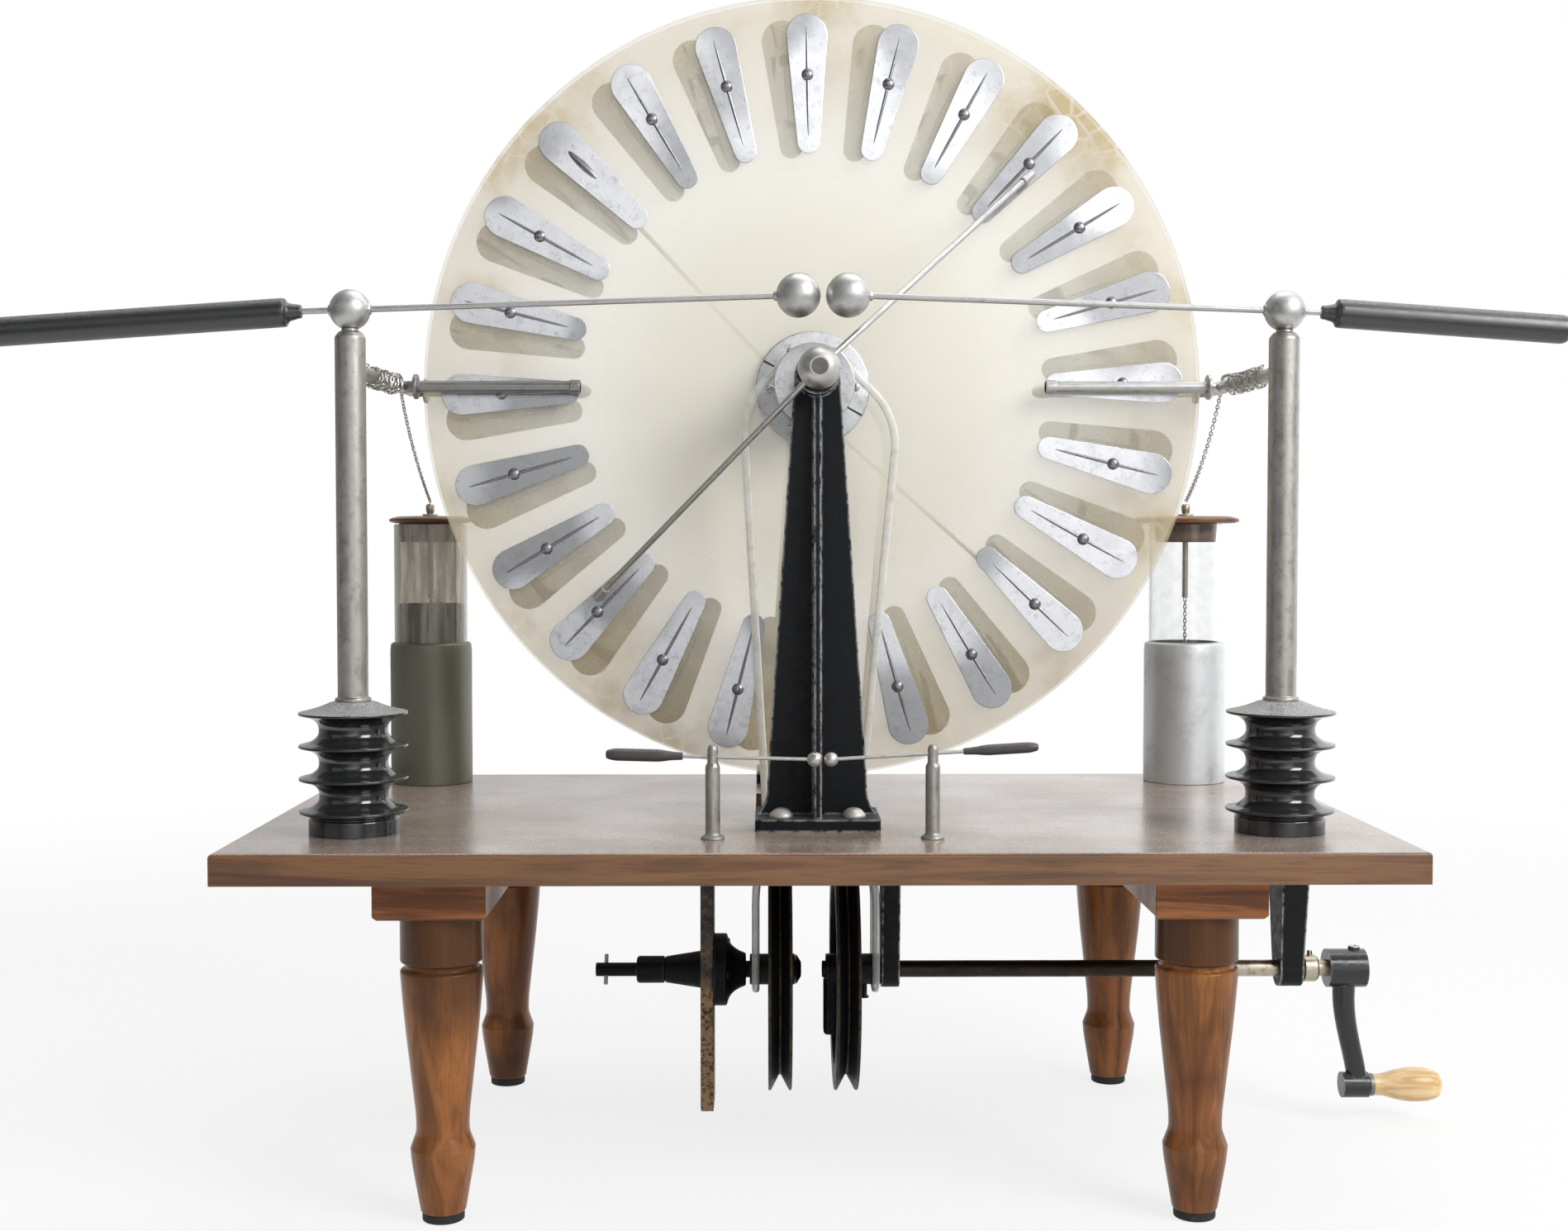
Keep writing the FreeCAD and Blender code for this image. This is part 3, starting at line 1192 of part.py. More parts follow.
def make_hanger(name, x, top_width, low_width):
    """A cast hanger under the board: a tapered leg with a shaft boss."""
    hanger = new_body(name)
    rise = size.board_underside - size.shaft_z
    plate = sketch_on(hanger, "XY_Plane", f"{name}_plate", rise - size.hanger_flange)
    half_x, half_y = top_width / 2, size.hanger_depth_top / 2
    draw_path(plate, rectangle(-half_x, half_x, -half_y - size.hanger_lug,
                               half_y + size.hanger_lug))
    pad(hanger, plate, size.hanger_flange)
    sections = []
    for height, wide, deep in (
        (rise - size.hanger_flange, half_x, half_y), (as_size(0), low_width / 2,
                                                      size.hanger_depth_low / 2),
    ):
        section = sketch_on(hanger, "XY_Plane", f"{name}_section_{len(sections)}", height)
        draw_path(section, rectangle(-wide, wide, -deep, deep))
        sections.append(section)
    loft = hanger.newObject("PartDesign::AdditiveLoft", f"{name}_leg")
    loft.Profile = sections[0]
    loft.Sections = sections[1:]
    boss = draw_circle(sketch_on(hanger, "YZ_Plane", f"{name}_boss"), 0, 0,
                       size.hanger_boss_radius)
    pad(hanger, boss, low_width, symmetric_pad=True)
    bore = draw_circle(sketch_on(hanger, "YZ_Plane", f"{name}_bore"), 0, 0, shaft_bore)
    pocket(hanger, bore)
    place(hanger, x, 0, size.shaft_z)


def make_idler_side():
    """The strap plate, its flanged bearing, and the second shaft and wheel."""
    plate = new_body("idler_plate")
    outline = sketch_on(plate, "YZ_Plane", "plate_outline")
    half = size.plate_depth / 2
    draw_path(outline, [
        (-half, size.plate_low + size.plate_corner), (size.plate_corner - half, size.plate_low),
        (half - size.plate_corner, size.plate_low), (half, size.plate_low + size.plate_corner),
        (half, size.board_underside), (-half, size.board_underside),
    ])
    pad(plate, outline, size.plate_thickness, symmetric_pad=True)
    through = sketch_on(plate, "YZ_Plane", "plate_bore")
    draw_circle(through, 0, size.shaft_z, size.nose_radius + size.running_clearance)
    pocket(plate, through)
    place(plate, -size.plate_x)
    face = size.plate_thickness / 2
    bearing = turned_body("idler_bearing", [
        (shaft_bore, size.plate_x - size.nose_end), (size.nose_small_radius,
                                                     size.plate_x - size.nose_end),
        (size.nose_radius, -face), (size.nose_radius, face), (size.bell_flange_radius, face),
        (size.bell_flange_radius, face + size.bell_flange_thickness, -size.bell_curve),
        (size.bell_nose_radius, size.plate_x - size.bell_end - 1),
        (size.bell_nose_radius - 1, size.plate_x - size.bell_end),
        (shaft_bore, size.plate_x - size.bell_end),
    ])
    place(bearing, -size.plate_x, 0, size.shaft_z, ALONG_X)
    wheel = turned_body("idler_wheel", wheel_path(
        -(size.wheel_x - size.idler_head_start), size.left_hub_outer - size.wheel_x))
    place(wheel, -size.wheel_x, 0, size.shaft_z, ALONG_MINUS_X)
    collar_near = size.nose_end + size.end_play
    head = size.idler_head_start - size.end_play
    shaft = turned_body("idler_shaft_bar", [
        (0, size.idler_head_end), (size.idler_head_radius / 2, size.idler_head_end),
        (size.idler_head_radius, head - size.end_play * 3), (size.idler_head_radius, head),
        (size.shaft_radius, head), (size.shaft_radius, collar_near),
        (size.idler_collar_radius, collar_near),
        (size.idler_collar_radius, size.idler_collar_end - size.end_play * 5),
        (size.idler_collar_radius - size.end_play * 5, size.idler_collar_end),
        (size.stub_radius, size.idler_collar_end), (size.stub_radius, size.stub_end),
        (0, size.stub_end),
    ])
    cross = primitive("Cylinder", "cross_pin", TOWARDS_BACK,
                      (0, -size.pin_length / 2, size.stub_end - size.pin_from_end),
                      Radius=size.pin_radius, Height=size.pin_length)
    twist = ALONG_MINUS_X * Rotation(Vector(0, 0, 1), size.pin_turn.value)
    place(joined("idler_shaft", [shaft, cross]), 0, 0, size.shaft_z, twist)


def belt_corners():
    """The belt's route: pulley, slot, hub and back, once round each side of the machine."""
    over = pulley_belt_radius.value
    under = hub_belt_radius.value
    top = size.axle_z.value + over * math.sqrt(2)
    low = size.shaft_z.value - under
    slot_z = board_top.value - size.board_thickness.value / 2
    near_y = size.belt_slot_y.value
    mid_z = (slot_z + size.shaft_z.value) / 2
    front = (Vector(0, -size.pulley_y.value, top), over)
    rear = (Vector(0, size.pulley_y.value, top), over)

    def strand(side, hub_x, bulge_x, y_sign):
        """Corners down one strand, from the pulley to the hub."""
        drop = bulge_x - over * math.sqrt(0.5)
        bulge_z = size.axle_z.value + over * math.sqrt(0.5) - drop
        return [
            (Vector(side * bulge_x, y_sign * size.pulley_y.value, bulge_z),
             size.belt_bulge_bend.value),
            (Vector(side * size.belt_slot_x.value, y_sign * near_y, slot_z + 6),
             size.belt_slot_bend.value),
            (Vector(side * hub_x, y_sign * under, mid_z), size.belt_hub_bend.value),
            (Vector(side * hub_x, y_sign * under, low), under),
        ]

    right = (RIGHT, size.right_belt_x.value, size.right_bulge_x.value)
    left = (LEFT, size.left_belt_x.value, size.left_bulge_x.value)
    return [
        front, *strand(*right, -1), *reversed(strand(*right, 1)),
        rear, *strand(*left, 1), *reversed(strand(*left, -1)),
    ]


def make_belt():
    """One endless clear tube from the front pulley, under both hubs, to the rear pulley."""
    route = rounded_wire(belt_corners(), closed=True)
    belt = tube_along(route, size.belt_radius.value)
    expected = route.Length * math.pi * size.belt_radius.value ** 2
    print(f"belt length {route.Length:.0f}, volume ratio {belt.Volume / expected:.4f}")
    place(formed("drive_belt", belt))


def make_all():
    """Every sub-part of the machine, from the stand up."""
    make_board()
    make_battens()
    make_legs()
    make_columns()
    make_axle()
    make_rotors()
    make_neutralisers()
    make_dischargers()
    make_combs()
    make_jars()
    make_lead(LEFT, "left_jar_lead")
    make_lead(RIGHT, "right_jar_lead")
    make_gauges()
    make_shaft_train()
    make_hanger("inner_hanger", size.inner_hanger_x, size.inner_hanger_width,
                size.inner_hanger_width)
    make_hanger("outer_hanger", size.outer_hanger_x, size.outer_hanger_width,
                size.outer_hanger_low_width)
    make_idler_side()
    make_belt()


def check_all():
    """Stop if any object failed or any sub-part isn't a sound solid."""
    faults = [
        piece.Name for piece in doc.Objects
        if any(state in ("Invalid", "Error") for state in piece.State)
    ]
    faults += [
        piece.Label for piece in sub_parts
        if piece.Shape.isNull() or not piece.Shape.isValid() or not piece.Shape.Solids
    ]
    if faults:
        raise RuntimeError(f"failed objects: {', '.join(faults)}")


def centre_footprint():
    """Move every sub-part so that the footprint's middle is the origin."""
    whole = FreeCAD.BoundBox()
    for piece in sub_parts:
        whole.add(piece.Shape.BoundBox)
    shift = Vector(-whole.Center.x, -whole.Center.y, -whole.ZMin)
    for piece in sub_parts:
        piece.Placement.Base = piece.Placement.Base + shift
    print(f"origin shift {shift.x:.4f} {shift.y:.4f} {shift.z:.4f}")


def export_all():
    """Write each sub-part to its own file."""
    os.makedirs("parts", exist_ok=True)
    for piece in sub_parts:
        piece.Shape.exportStep(f"parts/{piece.Label}.step")
    print(f"{len(sub_parts)} sub-parts")


make_all()
doc.recompute()
check_all()
centre_footprint()
doc.recompute()
check_all()
export_all()
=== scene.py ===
"""Looks of a wimshurst machine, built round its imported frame.

Pieces are shaped in the machine's own millimetres: X along the crank shaft, Y from front to back,
Z up from the floor, with the discs' axle over X = 0, Y = 0. They are moved into the frame's metres
when they are finished.
"""
import logging
import math
from dataclasses import dataclass
from enum import Enum
from typing import Optional, Sequence

import bmesh
import bpy
from mathutils import Matrix, Vector


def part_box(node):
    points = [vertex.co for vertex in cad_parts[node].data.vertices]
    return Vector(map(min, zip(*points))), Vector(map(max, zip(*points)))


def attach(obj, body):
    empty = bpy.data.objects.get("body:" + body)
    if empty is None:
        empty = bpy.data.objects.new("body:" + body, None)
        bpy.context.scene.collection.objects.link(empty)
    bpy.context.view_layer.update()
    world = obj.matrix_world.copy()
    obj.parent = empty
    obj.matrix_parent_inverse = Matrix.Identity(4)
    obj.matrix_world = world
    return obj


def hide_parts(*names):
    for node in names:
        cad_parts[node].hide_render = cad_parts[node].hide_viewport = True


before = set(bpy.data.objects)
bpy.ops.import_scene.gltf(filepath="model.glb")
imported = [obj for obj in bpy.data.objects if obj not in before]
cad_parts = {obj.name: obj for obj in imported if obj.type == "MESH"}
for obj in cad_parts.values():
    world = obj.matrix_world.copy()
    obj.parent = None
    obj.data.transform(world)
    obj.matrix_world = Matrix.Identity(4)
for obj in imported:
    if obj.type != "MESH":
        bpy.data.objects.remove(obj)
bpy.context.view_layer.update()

SMOOTH_BELOW = 35
SHAFT_BORE = 6.55
LOG = logging.getLogger("wimshurst")
Corner = Sequence[float]
Colour = tuple[float, float, float]


class Side(Enum):
    """A side of the machine, as the sign of X."""
    LEFT = -1
    RIGHT = 1


class Face(Enum):
    """Which disc a rotor carries, as the way its face points along Y."""
    FRONT = -1
    REAR = 1


def machine_to_frame() -> Matrix:
    """Work out the move from machine millimetres to the frame's metres.

    Returns:
        The matrix that puts the axle's middle where the frame has it.
    """
    low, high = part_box("disc_axle")
    middle = (low + high) / 2
    return Matrix.Translation((middle.x, middle.y, 0)) @ Matrix.Scale(0.001, 4)


TO_FRAME = machine_to_frame()


# --- Materials -------------------------------------------------------------------------------

class Recipe:
    """A material's node tree while it is being put together."""

    def __init__(self, name: str) -> None:
        """Start a material with its shader and object coordinates.

        Args:
            name: The finish's name.
        """
        self.material = bpy.data.materials.new(name)
        self.material.use_nodes = True
        self.tree = self.material.node_tree
        self.shader = self.tree.nodes["Principled BSDF"]
        self.place = self.add("ShaderNodeTexCoord").outputs["Object"]

    def add(self, kind: str, **options: object) -> bpy.types.Node:
        """Add a node and set its options.

        Args:
            kind: The node's type.
            options: Its own settings by name.

        Returns:
            The new node.
        """
        node = self.tree.nodes.new(kind)
        for option, value in options.items():
            setattr(node, option, value)
        return node

    def feed(self, node: bpy.types.Node, socket: object, value: object) -> None:
        """Set a socket to a number or colour, or link it.

        Args:
            node: The node that is fed.
            socket: The socket's name or number.
            value: A plain value, or another node's output.
        """
        if isinstance(value, bpy.types.NodeSocket):
            self.tree.links.new(value, node.inputs[socket])
        elif isinstance(value, tuple) and len(value) == 3:
            node.inputs[socket].default_value = (*value, 1.0)
        else:
            node.inputs[socket].default_value = value

    def set(self, **sockets: object) -> "Recipe":
        """Feed the shader's own sockets; underscores stand for spaces.

        Args:
            sockets: Values or outputs by socket name.

        Returns:
            The recipe itself.
        """
        for socket, value in sockets.items():
            self.feed(self.shader, socket.replace("_", " "), value)
        return self

    def stretched(self, scale: Corner) -> bpy.types.NodeSocket:
        """Stretch the object's coordinates.

        Args:
            scale: How many times finer the pattern is along each axis.

        Returns:
            The stretched coordinates.
        """
        node = self.add("ShaderNodeMapping")
        self.feed(node, 0, self.place)
        node.inputs["Scale"].default_value = scale
        return node.outputs[0]

    def noise(self, scale: float, detail: float = 4, rough: float = 0.55,
              place: Optional[bpy.types.NodeSocket] = None,
              warp: float = 0) -> bpy.types.NodeSocket:
        """Add a noise pattern.

        Args:
            scale: Lumps to a metre.
            detail: Finer layers.
            rough: Weight of the finer layers.
            place: Coordinates, or the object's own.
            warp: How far the pattern is warped.

        Returns:
            The pattern's value.
        """
        node = self.add("ShaderNodeTexNoise")
        self.feed(node, "Vector", place or self.place)
        for socket, value in (("Scale", scale), ("Detail", detail), ("Roughness", rough),
                              ("Distortion", warp)):
            self.feed(node, socket, value)
        return node.outputs[0]

    def cells(self, scale: float, feature: str = "F1") -> bpy.types.NodeSocket:
        """Add a cell pattern and give its distance.

        Args:
            scale: Cells to a metre.
            feature: Which distance is measured.

        Returns:
            The distance.
        """
        node = self.add("ShaderNodeTexVoronoi", feature=feature)
        self.feed(node, "Vector", self.place)
        self.feed(node, "Scale", scale)
        return node.outputs["Distance"]

    def ramp(self, value: bpy.types.NodeSocket, low: float, high: float) -> bpy.types.NodeSocket:
        """Spread a value so that low becomes 0 and high becomes 1.

        Args:
            value: The value.
            low: What becomes 0.
            high: What becomes 1.

        Returns:
            The spread value.
        """
        node = self.add("ShaderNodeMapRange", interpolation_type="SMOOTHSTEP")
        self.feed(node, "Value", value)
        self.feed(node, "From Min", low)
        self.feed(node, "From Max", high)
        return node.outputs[0]

    def sum(self, kind: str, first: object, second: object = 0.0) -> bpy.types.NodeSocket:
        """Work out a sum of two values.

        Args:
            kind: The sum's name in the editor.
            first: A number or a socket.
            second: A number or a socket.

        Returns:
            The result.
        """
        node = self.add("ShaderNodeMath", operation=kind)
        self.feed(node, 0, first)
        self.feed(node, 1, second)
        return node.outputs[0]

    def blend(self, share: object, first: object, second: object) -> bpy.types.NodeSocket:
        """Blend two colours.

        Args:
            share: How much of the second shows.
            first: A colour or a socket.
            second: A colour or a socket.

        Returns:
            The blended colour.
        """
        node = self.add("ShaderNodeMix", data_type="RGBA", blend_type="MIX")
        self.feed(node, "Factor", share)
        self.feed(node, 6, first)
        self.feed(node, 7, second)
        return node.outputs[2]

    def between(self, share: bpy.types.NodeSocket, low: float, high: float) -> bpy.types.NodeSocket:
        """Turn a share from 0 to 1 into a value from low to high.

        Args:
            share: The share.
            low: What 0 becomes.
            high: What 1 becomes.

        Returns:
            The value.
        """
        node = self.add("ShaderNodeMapRange")
        self.feed(node, "Value", share)
        self.feed(node, "To Min", low)
        self.feed(node, "To Max", high)
        return node.outputs[0]

    def part(self, axis: str, place: Optional[bpy.types.NodeSocket] = None) -> bpy.types.NodeSocket:
        """One axis of the coordinates.

        Args:
            axis: X, Y or Z.
            place: Coordinates, or the object's own.

        Returns:
            That axis alone.
        """
        node = self.add("ShaderNodeSeparateXYZ")
        self.feed(node, 0, place or self.place)
        return node.outputs[axis]

    def upward(self) -> bpy.types.NodeSocket:
        """How far the surface faces up, for dust and, on the handles, a painted highlight."""
        return self.part("Z", self.add("ShaderNodeNewGeometry").outputs["Normal"])

    def worn_edge(self, width: float) -> bpy.types.NodeSocket:
        """A mask that is 1 on sharp edges.

        Args:
            width: Half the band's width in metres.

        Returns:
            The mask's value.
        """
        soft = self.add("ShaderNodeBevel", samples=4)
        self.feed(soft, "Radius", width)
        plain = self.add("ShaderNodeNewGeometry").outputs["Normal"]
        turn = self.add("ShaderNodeVectorMath", operation="DOT_PRODUCT")
        self.feed(turn, 0, soft.outputs[0])
        self.feed(turn, 1, plain)
        return self.ramp(turn.outputs["Value"], 0.985, 0.86)

    def relief(self, height: bpy.types.NodeSocket, depth: float, share: float = 1.0) -> None:
        """Give the shader a bumpy surface.

        Args:
            height: The pattern's value.
            depth: Its depth in metres.
            share: Its strength.
        """
        node = self.add("ShaderNodeBump")
        earlier = self.shader.inputs["Normal"].links
        if earlier:
            self.feed(node, "Normal", earlier[0].from_socket)
        self.feed(node, "Strength", share)
        self.feed(node, "Distance", depth)
        self.feed(node, "Height", height)
        self.feed(self.shader, "Normal", node.outputs[0])


MADE: dict[str, bpy.types.Material] = {}


@dataclass(frozen=True)
class Finish:
    """A surface finish; each kind fills in its own recipe."""
    name: str

    def material(self) -> bpy.types.Material:
        """The finish's material, made once.

        Returns:
            The material.
        """
        if self.name not in MADE:
            recipe = Recipe(self.name)
            self.fill(recipe)
            MADE[self.name] = recipe.material
        return MADE[self.name]

    def fill(self, recipe: Recipe) -> None:
        """Put the finish's nodes into a recipe."""
        raise NotImplementedError


@dataclass(frozen=True)
class Timber(Finish):
    """Wood with its grain along one axis, varnish, and dust on top."""
    light: Colour
    dark: Colour
    grain: str = "Z"
    gloss: float = 0.3
    coat: float = 0.5
    dust: float = 0.0
    lines: float = 260.0
    stain: float = 0.3
    shine: float = 0.25
    neck: float = 0.0

    def fill(self, recipe: Recipe) -> None:
        """Streaks along the grain, fine pores, blotches of varnish, a dark neck and dust.

        Args:
            recipe: The material's nodes.
        """
        along = {"X": (0.05, 1, 1), "Z": (1, 1, 0.05)}[self.grain]
        run = recipe.stretched(along)
        streaks = recipe.noise(self.lines * 0.28, 6, 0.62, run, 1.2)
        pores = recipe.noise(self.lines * 2.6, 3, 0.6, run)
        blotch = recipe.noise(9, 3, 0.5)
        colour = recipe.blend(recipe.ramp(streaks, 0.36, 0.64), self.dark, self.light)
        fine = recipe.ramp(pores, 0.52, 0.66)
        colour = recipe.blend(recipe.sum("MULTIPLY", fine, 0.45), colour, self.dark)
        shade = recipe.sum("MULTIPLY", recipe.ramp(blotch, 0.45, 0.72), self.stain)
        if self.neck:
            top = recipe.ramp(recipe.part("Z"), self.neck - 0.004, self.neck)
            shade = recipe.sum("MAXIMUM", shade, recipe.sum("MULTIPLY", top, 0.85))
        colour = recipe.blend(shade, colour, tuple(c * 0.3 for c in self.dark))
        worn = recipe.worn_edge(0.0012)
        colour = recipe.blend(recipe.sum("MULTIPLY", worn, 0.35), colour, self.light)
        rough = recipe.between(recipe.ramp(blotch, 0.3, 0.7), self.gloss * 0.8, self.gloss * 1.3)
        if self.dust:
            grit = recipe.ramp(recipe.noise(850, 2, 0.7), 0.42, 0.62)
            film = recipe.ramp(recipe.noise(14, 4, 0.6), 0.3, 0.75)
            top = recipe.ramp(recipe.upward(), 0.6, 0.95)
            speck = recipe.sum("MULTIPLY_ADD", grit, 0.5)
            speck.node.inputs[2].default_value = 0.35
            share = recipe.sum("MULTIPLY", recipe.sum("MULTIPLY", speck, top),
                               recipe.between(film, self.dust * 0.6, self.dust))
            colour = recipe.blend(share, colour, (0.62, 0.57, 0.53))
        recipe.set(Base_Color=colour, Roughness=rough, Coat_Weight=self.coat,
                   Coat_Roughness=0.2, Specular_IOR_Level=self.shine)
        recipe.relief(pores, 0.00012, 0.5)
        recipe.relief(blotch, 0.0006, 0.25)


@dataclass(frozen=True)
class Castings(Finish):
    """Black painted iron, chipped to bright or rusty metal on its edges."""
    paint: Colour = (0.0055, 0.0065, 0.008)
    chip: Colour = (0.4, 0.4, 0.41)
    rust: Colour = (0.16, 0.07, 0.025)
    gloss: float = 0.42
    wear: float = 0.8
    shine: float = 0.22
    skin: float = 1.0

    def fill(self, recipe: Recipe) -> None:
        """Orange-peel paint over a cast skin, worn edges and specks of rust.

        Args:
            recipe: The material's nodes.
        """
        peel = recipe.noise(420, 3, 0.6)
        cast = recipe.noise(150, 5, 0.65)
        bite = recipe.noise(130, 6, 0.75)
        edge = recipe.worn_edge(0.0028)
        chips = recipe.sum("MULTIPLY", edge, recipe.ramp(bite, 0.36, 0.58))
        specks = recipe.ramp(recipe.noise(620, 2, 0.6), 0.69, 0.75)
        specks = recipe.sum("MULTIPLY", specks, recipe.ramp(bite, 0.5, 0.62))
        share = recipe.sum("MULTIPLY", chips, self.wear)
        colour = recipe.blend(share, self.paint, self.chip)
        colour = recipe.blend(recipe.sum("MULTIPLY", specks, self.wear), colour, self.rust)
        dusty = recipe.sum("MULTIPLY", recipe.ramp(recipe.upward(), 0.5, 1), 0.3)
        colour = recipe.blend(dusty, colour, (0.2, 0.19, 0.18))
        recipe.set(Base_Color=colour, Metallic=recipe.sum("MULTIPLY", share, 0.8),
                   Roughness=recipe.between(recipe.ramp(cast, 0.3, 0.7), self.gloss,
                                            self.gloss + 0.2),
                   Specular_IOR_Level=self.shine)
        recipe.relief(cast, 0.0007, 0.35 * self.skin)
        recipe.relief(peel, 0.0002, 0.35 * self.skin)
        recipe.relief(recipe.sum("MULTIPLY", share, -1.0), 0.0002, 0.6)


@dataclass(frozen=True)
class StrapMetal(Finish):
    """A worn strap: mottled dark above, speckled tan rust below."""
    change: float = 0.115

    def fill(self, recipe: Recipe) -> None:
        """Two mottled coats that meet in a ragged line.

        Args:
            recipe: The material's nodes.
        """
        lumps = recipe.noise(60, 6, 0.7)
        line = recipe.sum("ADD", recipe.part("Z"), recipe.between(lumps, -0.02, 0.02))
        low = recipe.ramp(line, self.change + 0.008, self.change - 0.008)
        speck = recipe.ramp(recipe.noise(330, 3, 0.7), 0.45, 0.62)
        tan = recipe.blend(speck, (0.33, 0.21, 0.105), (0.08, 0.047, 0.026))
        dark = recipe.blend(recipe.ramp(lumps, 0.42, 0.68), (0.035, 0.03, 0.026),
                            (0.19, 0.13, 0.075))
        recipe.set(Base_Color=recipe.blend(low, dark, tan), Metallic=0.15,
                   Roughness=recipe.between(speck, 0.5, 0.8))
        recipe.relief(speck, 0.0003, 0.7)
        recipe.relief(lumps, 0.001, 0.4)


@dataclass(frozen=True)
class Metal(Finish):
    """Bare or plated metal with smudges, tarnish and fine scratches."""
    colour: Colour
    rough: float = 0.2
    tarnish: Colour = (0.3, 0.26, 0.2)
    age: float = 0.3
    grain: Corner = (1, 1, 1)
    relief: float = 0.00006
    painted_reflection_shade: float = 0.0

    def fill(self, recipe: Recipe) -> None:
        """Smudged shine, tarnish in patches, scratches along the grain, and big patches of painted
        shade.

        Args:
            recipe: The material's nodes.
        """
        smudge = recipe.noise(55, 5, 0.6)
        patches = recipe.noise(170, 6, 0.72)
        lines = recipe.noise(900, 3, 0.7, recipe.stretched(self.grain))
        spot = recipe.sum("MULTIPLY", recipe.ramp(patches, 0.5, 0.72), self.age)
        colour = recipe.blend(spot, self.colour, self.tarnish)
        streak = recipe.sum("MULTIPLY", recipe.ramp(lines, 0.4, 0.7), 0.16)
        colour = recipe.blend(streak, colour, tuple(c * 0.55 for c in self.colour))
        # Big darker patches: painted shade standing in for the darker reflections on some sectors.
        if self.painted_reflection_shade:
            dull = recipe.ramp(recipe.noise(8, 1, 0.4), 0.44, 0.56)
            colour = recipe.blend(recipe.sum("MULTIPLY", dull, self.painted_reflection_shade), colour,
                                  tuple(c * 0.3 for c in self.colour))
        rough = recipe.between(recipe.ramp(smudge, 0.35, 0.7), self.rough, self.rough * 1.7)
        recipe.set(Base_Color=colour, Metallic=1.0, Roughness=rough)
        recipe.relief(lines, self.relief, 0.5)
        recipe.relief(smudge, 0.0005, 0.12)


@dataclass(frozen=True)
class Ebonite(Finish):
    """Polished hard black rubber with dust on top; on the handles that is also a painted highlight.
    """
    colour: Colour = (0.008, 0.009, 0.011)
    gloss: float = 0.14
    dust: float = 0.5
    chip: float = 0.0
    shine: float = 0.6
    dust_from: float = 0.0

    def fill(self, recipe: Recipe) -> None:
        """A glossy black skin, faint wipe marks, dust that is a painted highlight too on the
        handles, and a chalky worn spot or two.

        Args:
            recipe: The material's nodes.
        """
        wipe = recipe.noise(70, 5, 0.6)
        grit = recipe.noise(700, 3, 0.7)
        top = recipe.ramp(recipe.upward(), 0.35, 0.95)
        share = recipe.sum("MULTIPLY", top, recipe.between(recipe.ramp(grit, 0.35, 0.65),
                                                           self.dust * 0.3, self.dust))
        if self.dust_from:
            high = recipe.ramp(recipe.part("Z"), self.dust_from, self.dust_from + 0.008)
            share = recipe.sum("MULTIPLY", share, recipe.between(high, 0.05, 1.0))
        # A pale top: dust, and on the handles also a painted highlight.
        colour = recipe.blend(share, self.colour, (0.5, 0.5, 0.49))
        if self.chip:
            spot = recipe.ramp(recipe.noise(34, 5, 0.7), 0.68, 0.71)
            colour = recipe.blend(recipe.sum("MULTIPLY", spot, self.chip), colour,
                                  (0.5, 0.49, 0.47))
        lift = recipe.sum("MULTIPLY", share, 0.6)
        rough = recipe.sum("ADD", recipe.between(wipe, self.gloss * 0.6, self.gloss * 1.8), lift)
        recipe.set(Base_Color=colour, Roughness=rough, Specular_IOR_Level=self.shine)
        recipe.relief(wipe, 0.0004, 0.1)


@dataclass(frozen=True)
class JarFoil(Finish):
    """Satin grey metal foil with soft creases and a dull bloom."""
    colour: Colour = (0.68, 0.7, 0.71)

    def fill(self, recipe: Recipe) -> None:
        """Fine satin grain, long soft creases and darker handling marks.

        Args:
            recipe: The material's nodes.
        """
        crease = recipe.noise(16, 4, 0.6, recipe.stretched((1, 1, 0.35)))
        satin = recipe.noise(1100, 2, 0.6, recipe.stretched((1, 1, 0.2)))
        marks = recipe.noise(38, 6, 0.7)
        colour = recipe.blend(recipe.sum("MULTIPLY", recipe.ramp(marks, 0.48, 0.75), 0.35),
                              self.colour, (0.2, 0.2, 0.17))
        recipe.set(Base_Color=colour, Metallic=0.75,
                   Roughness=recipe.between(satin, 0.38, 0.56))
        recipe.relief(crease, 0.0012, 0.3)
        recipe.relief(satin, 0.00005, 0.5)


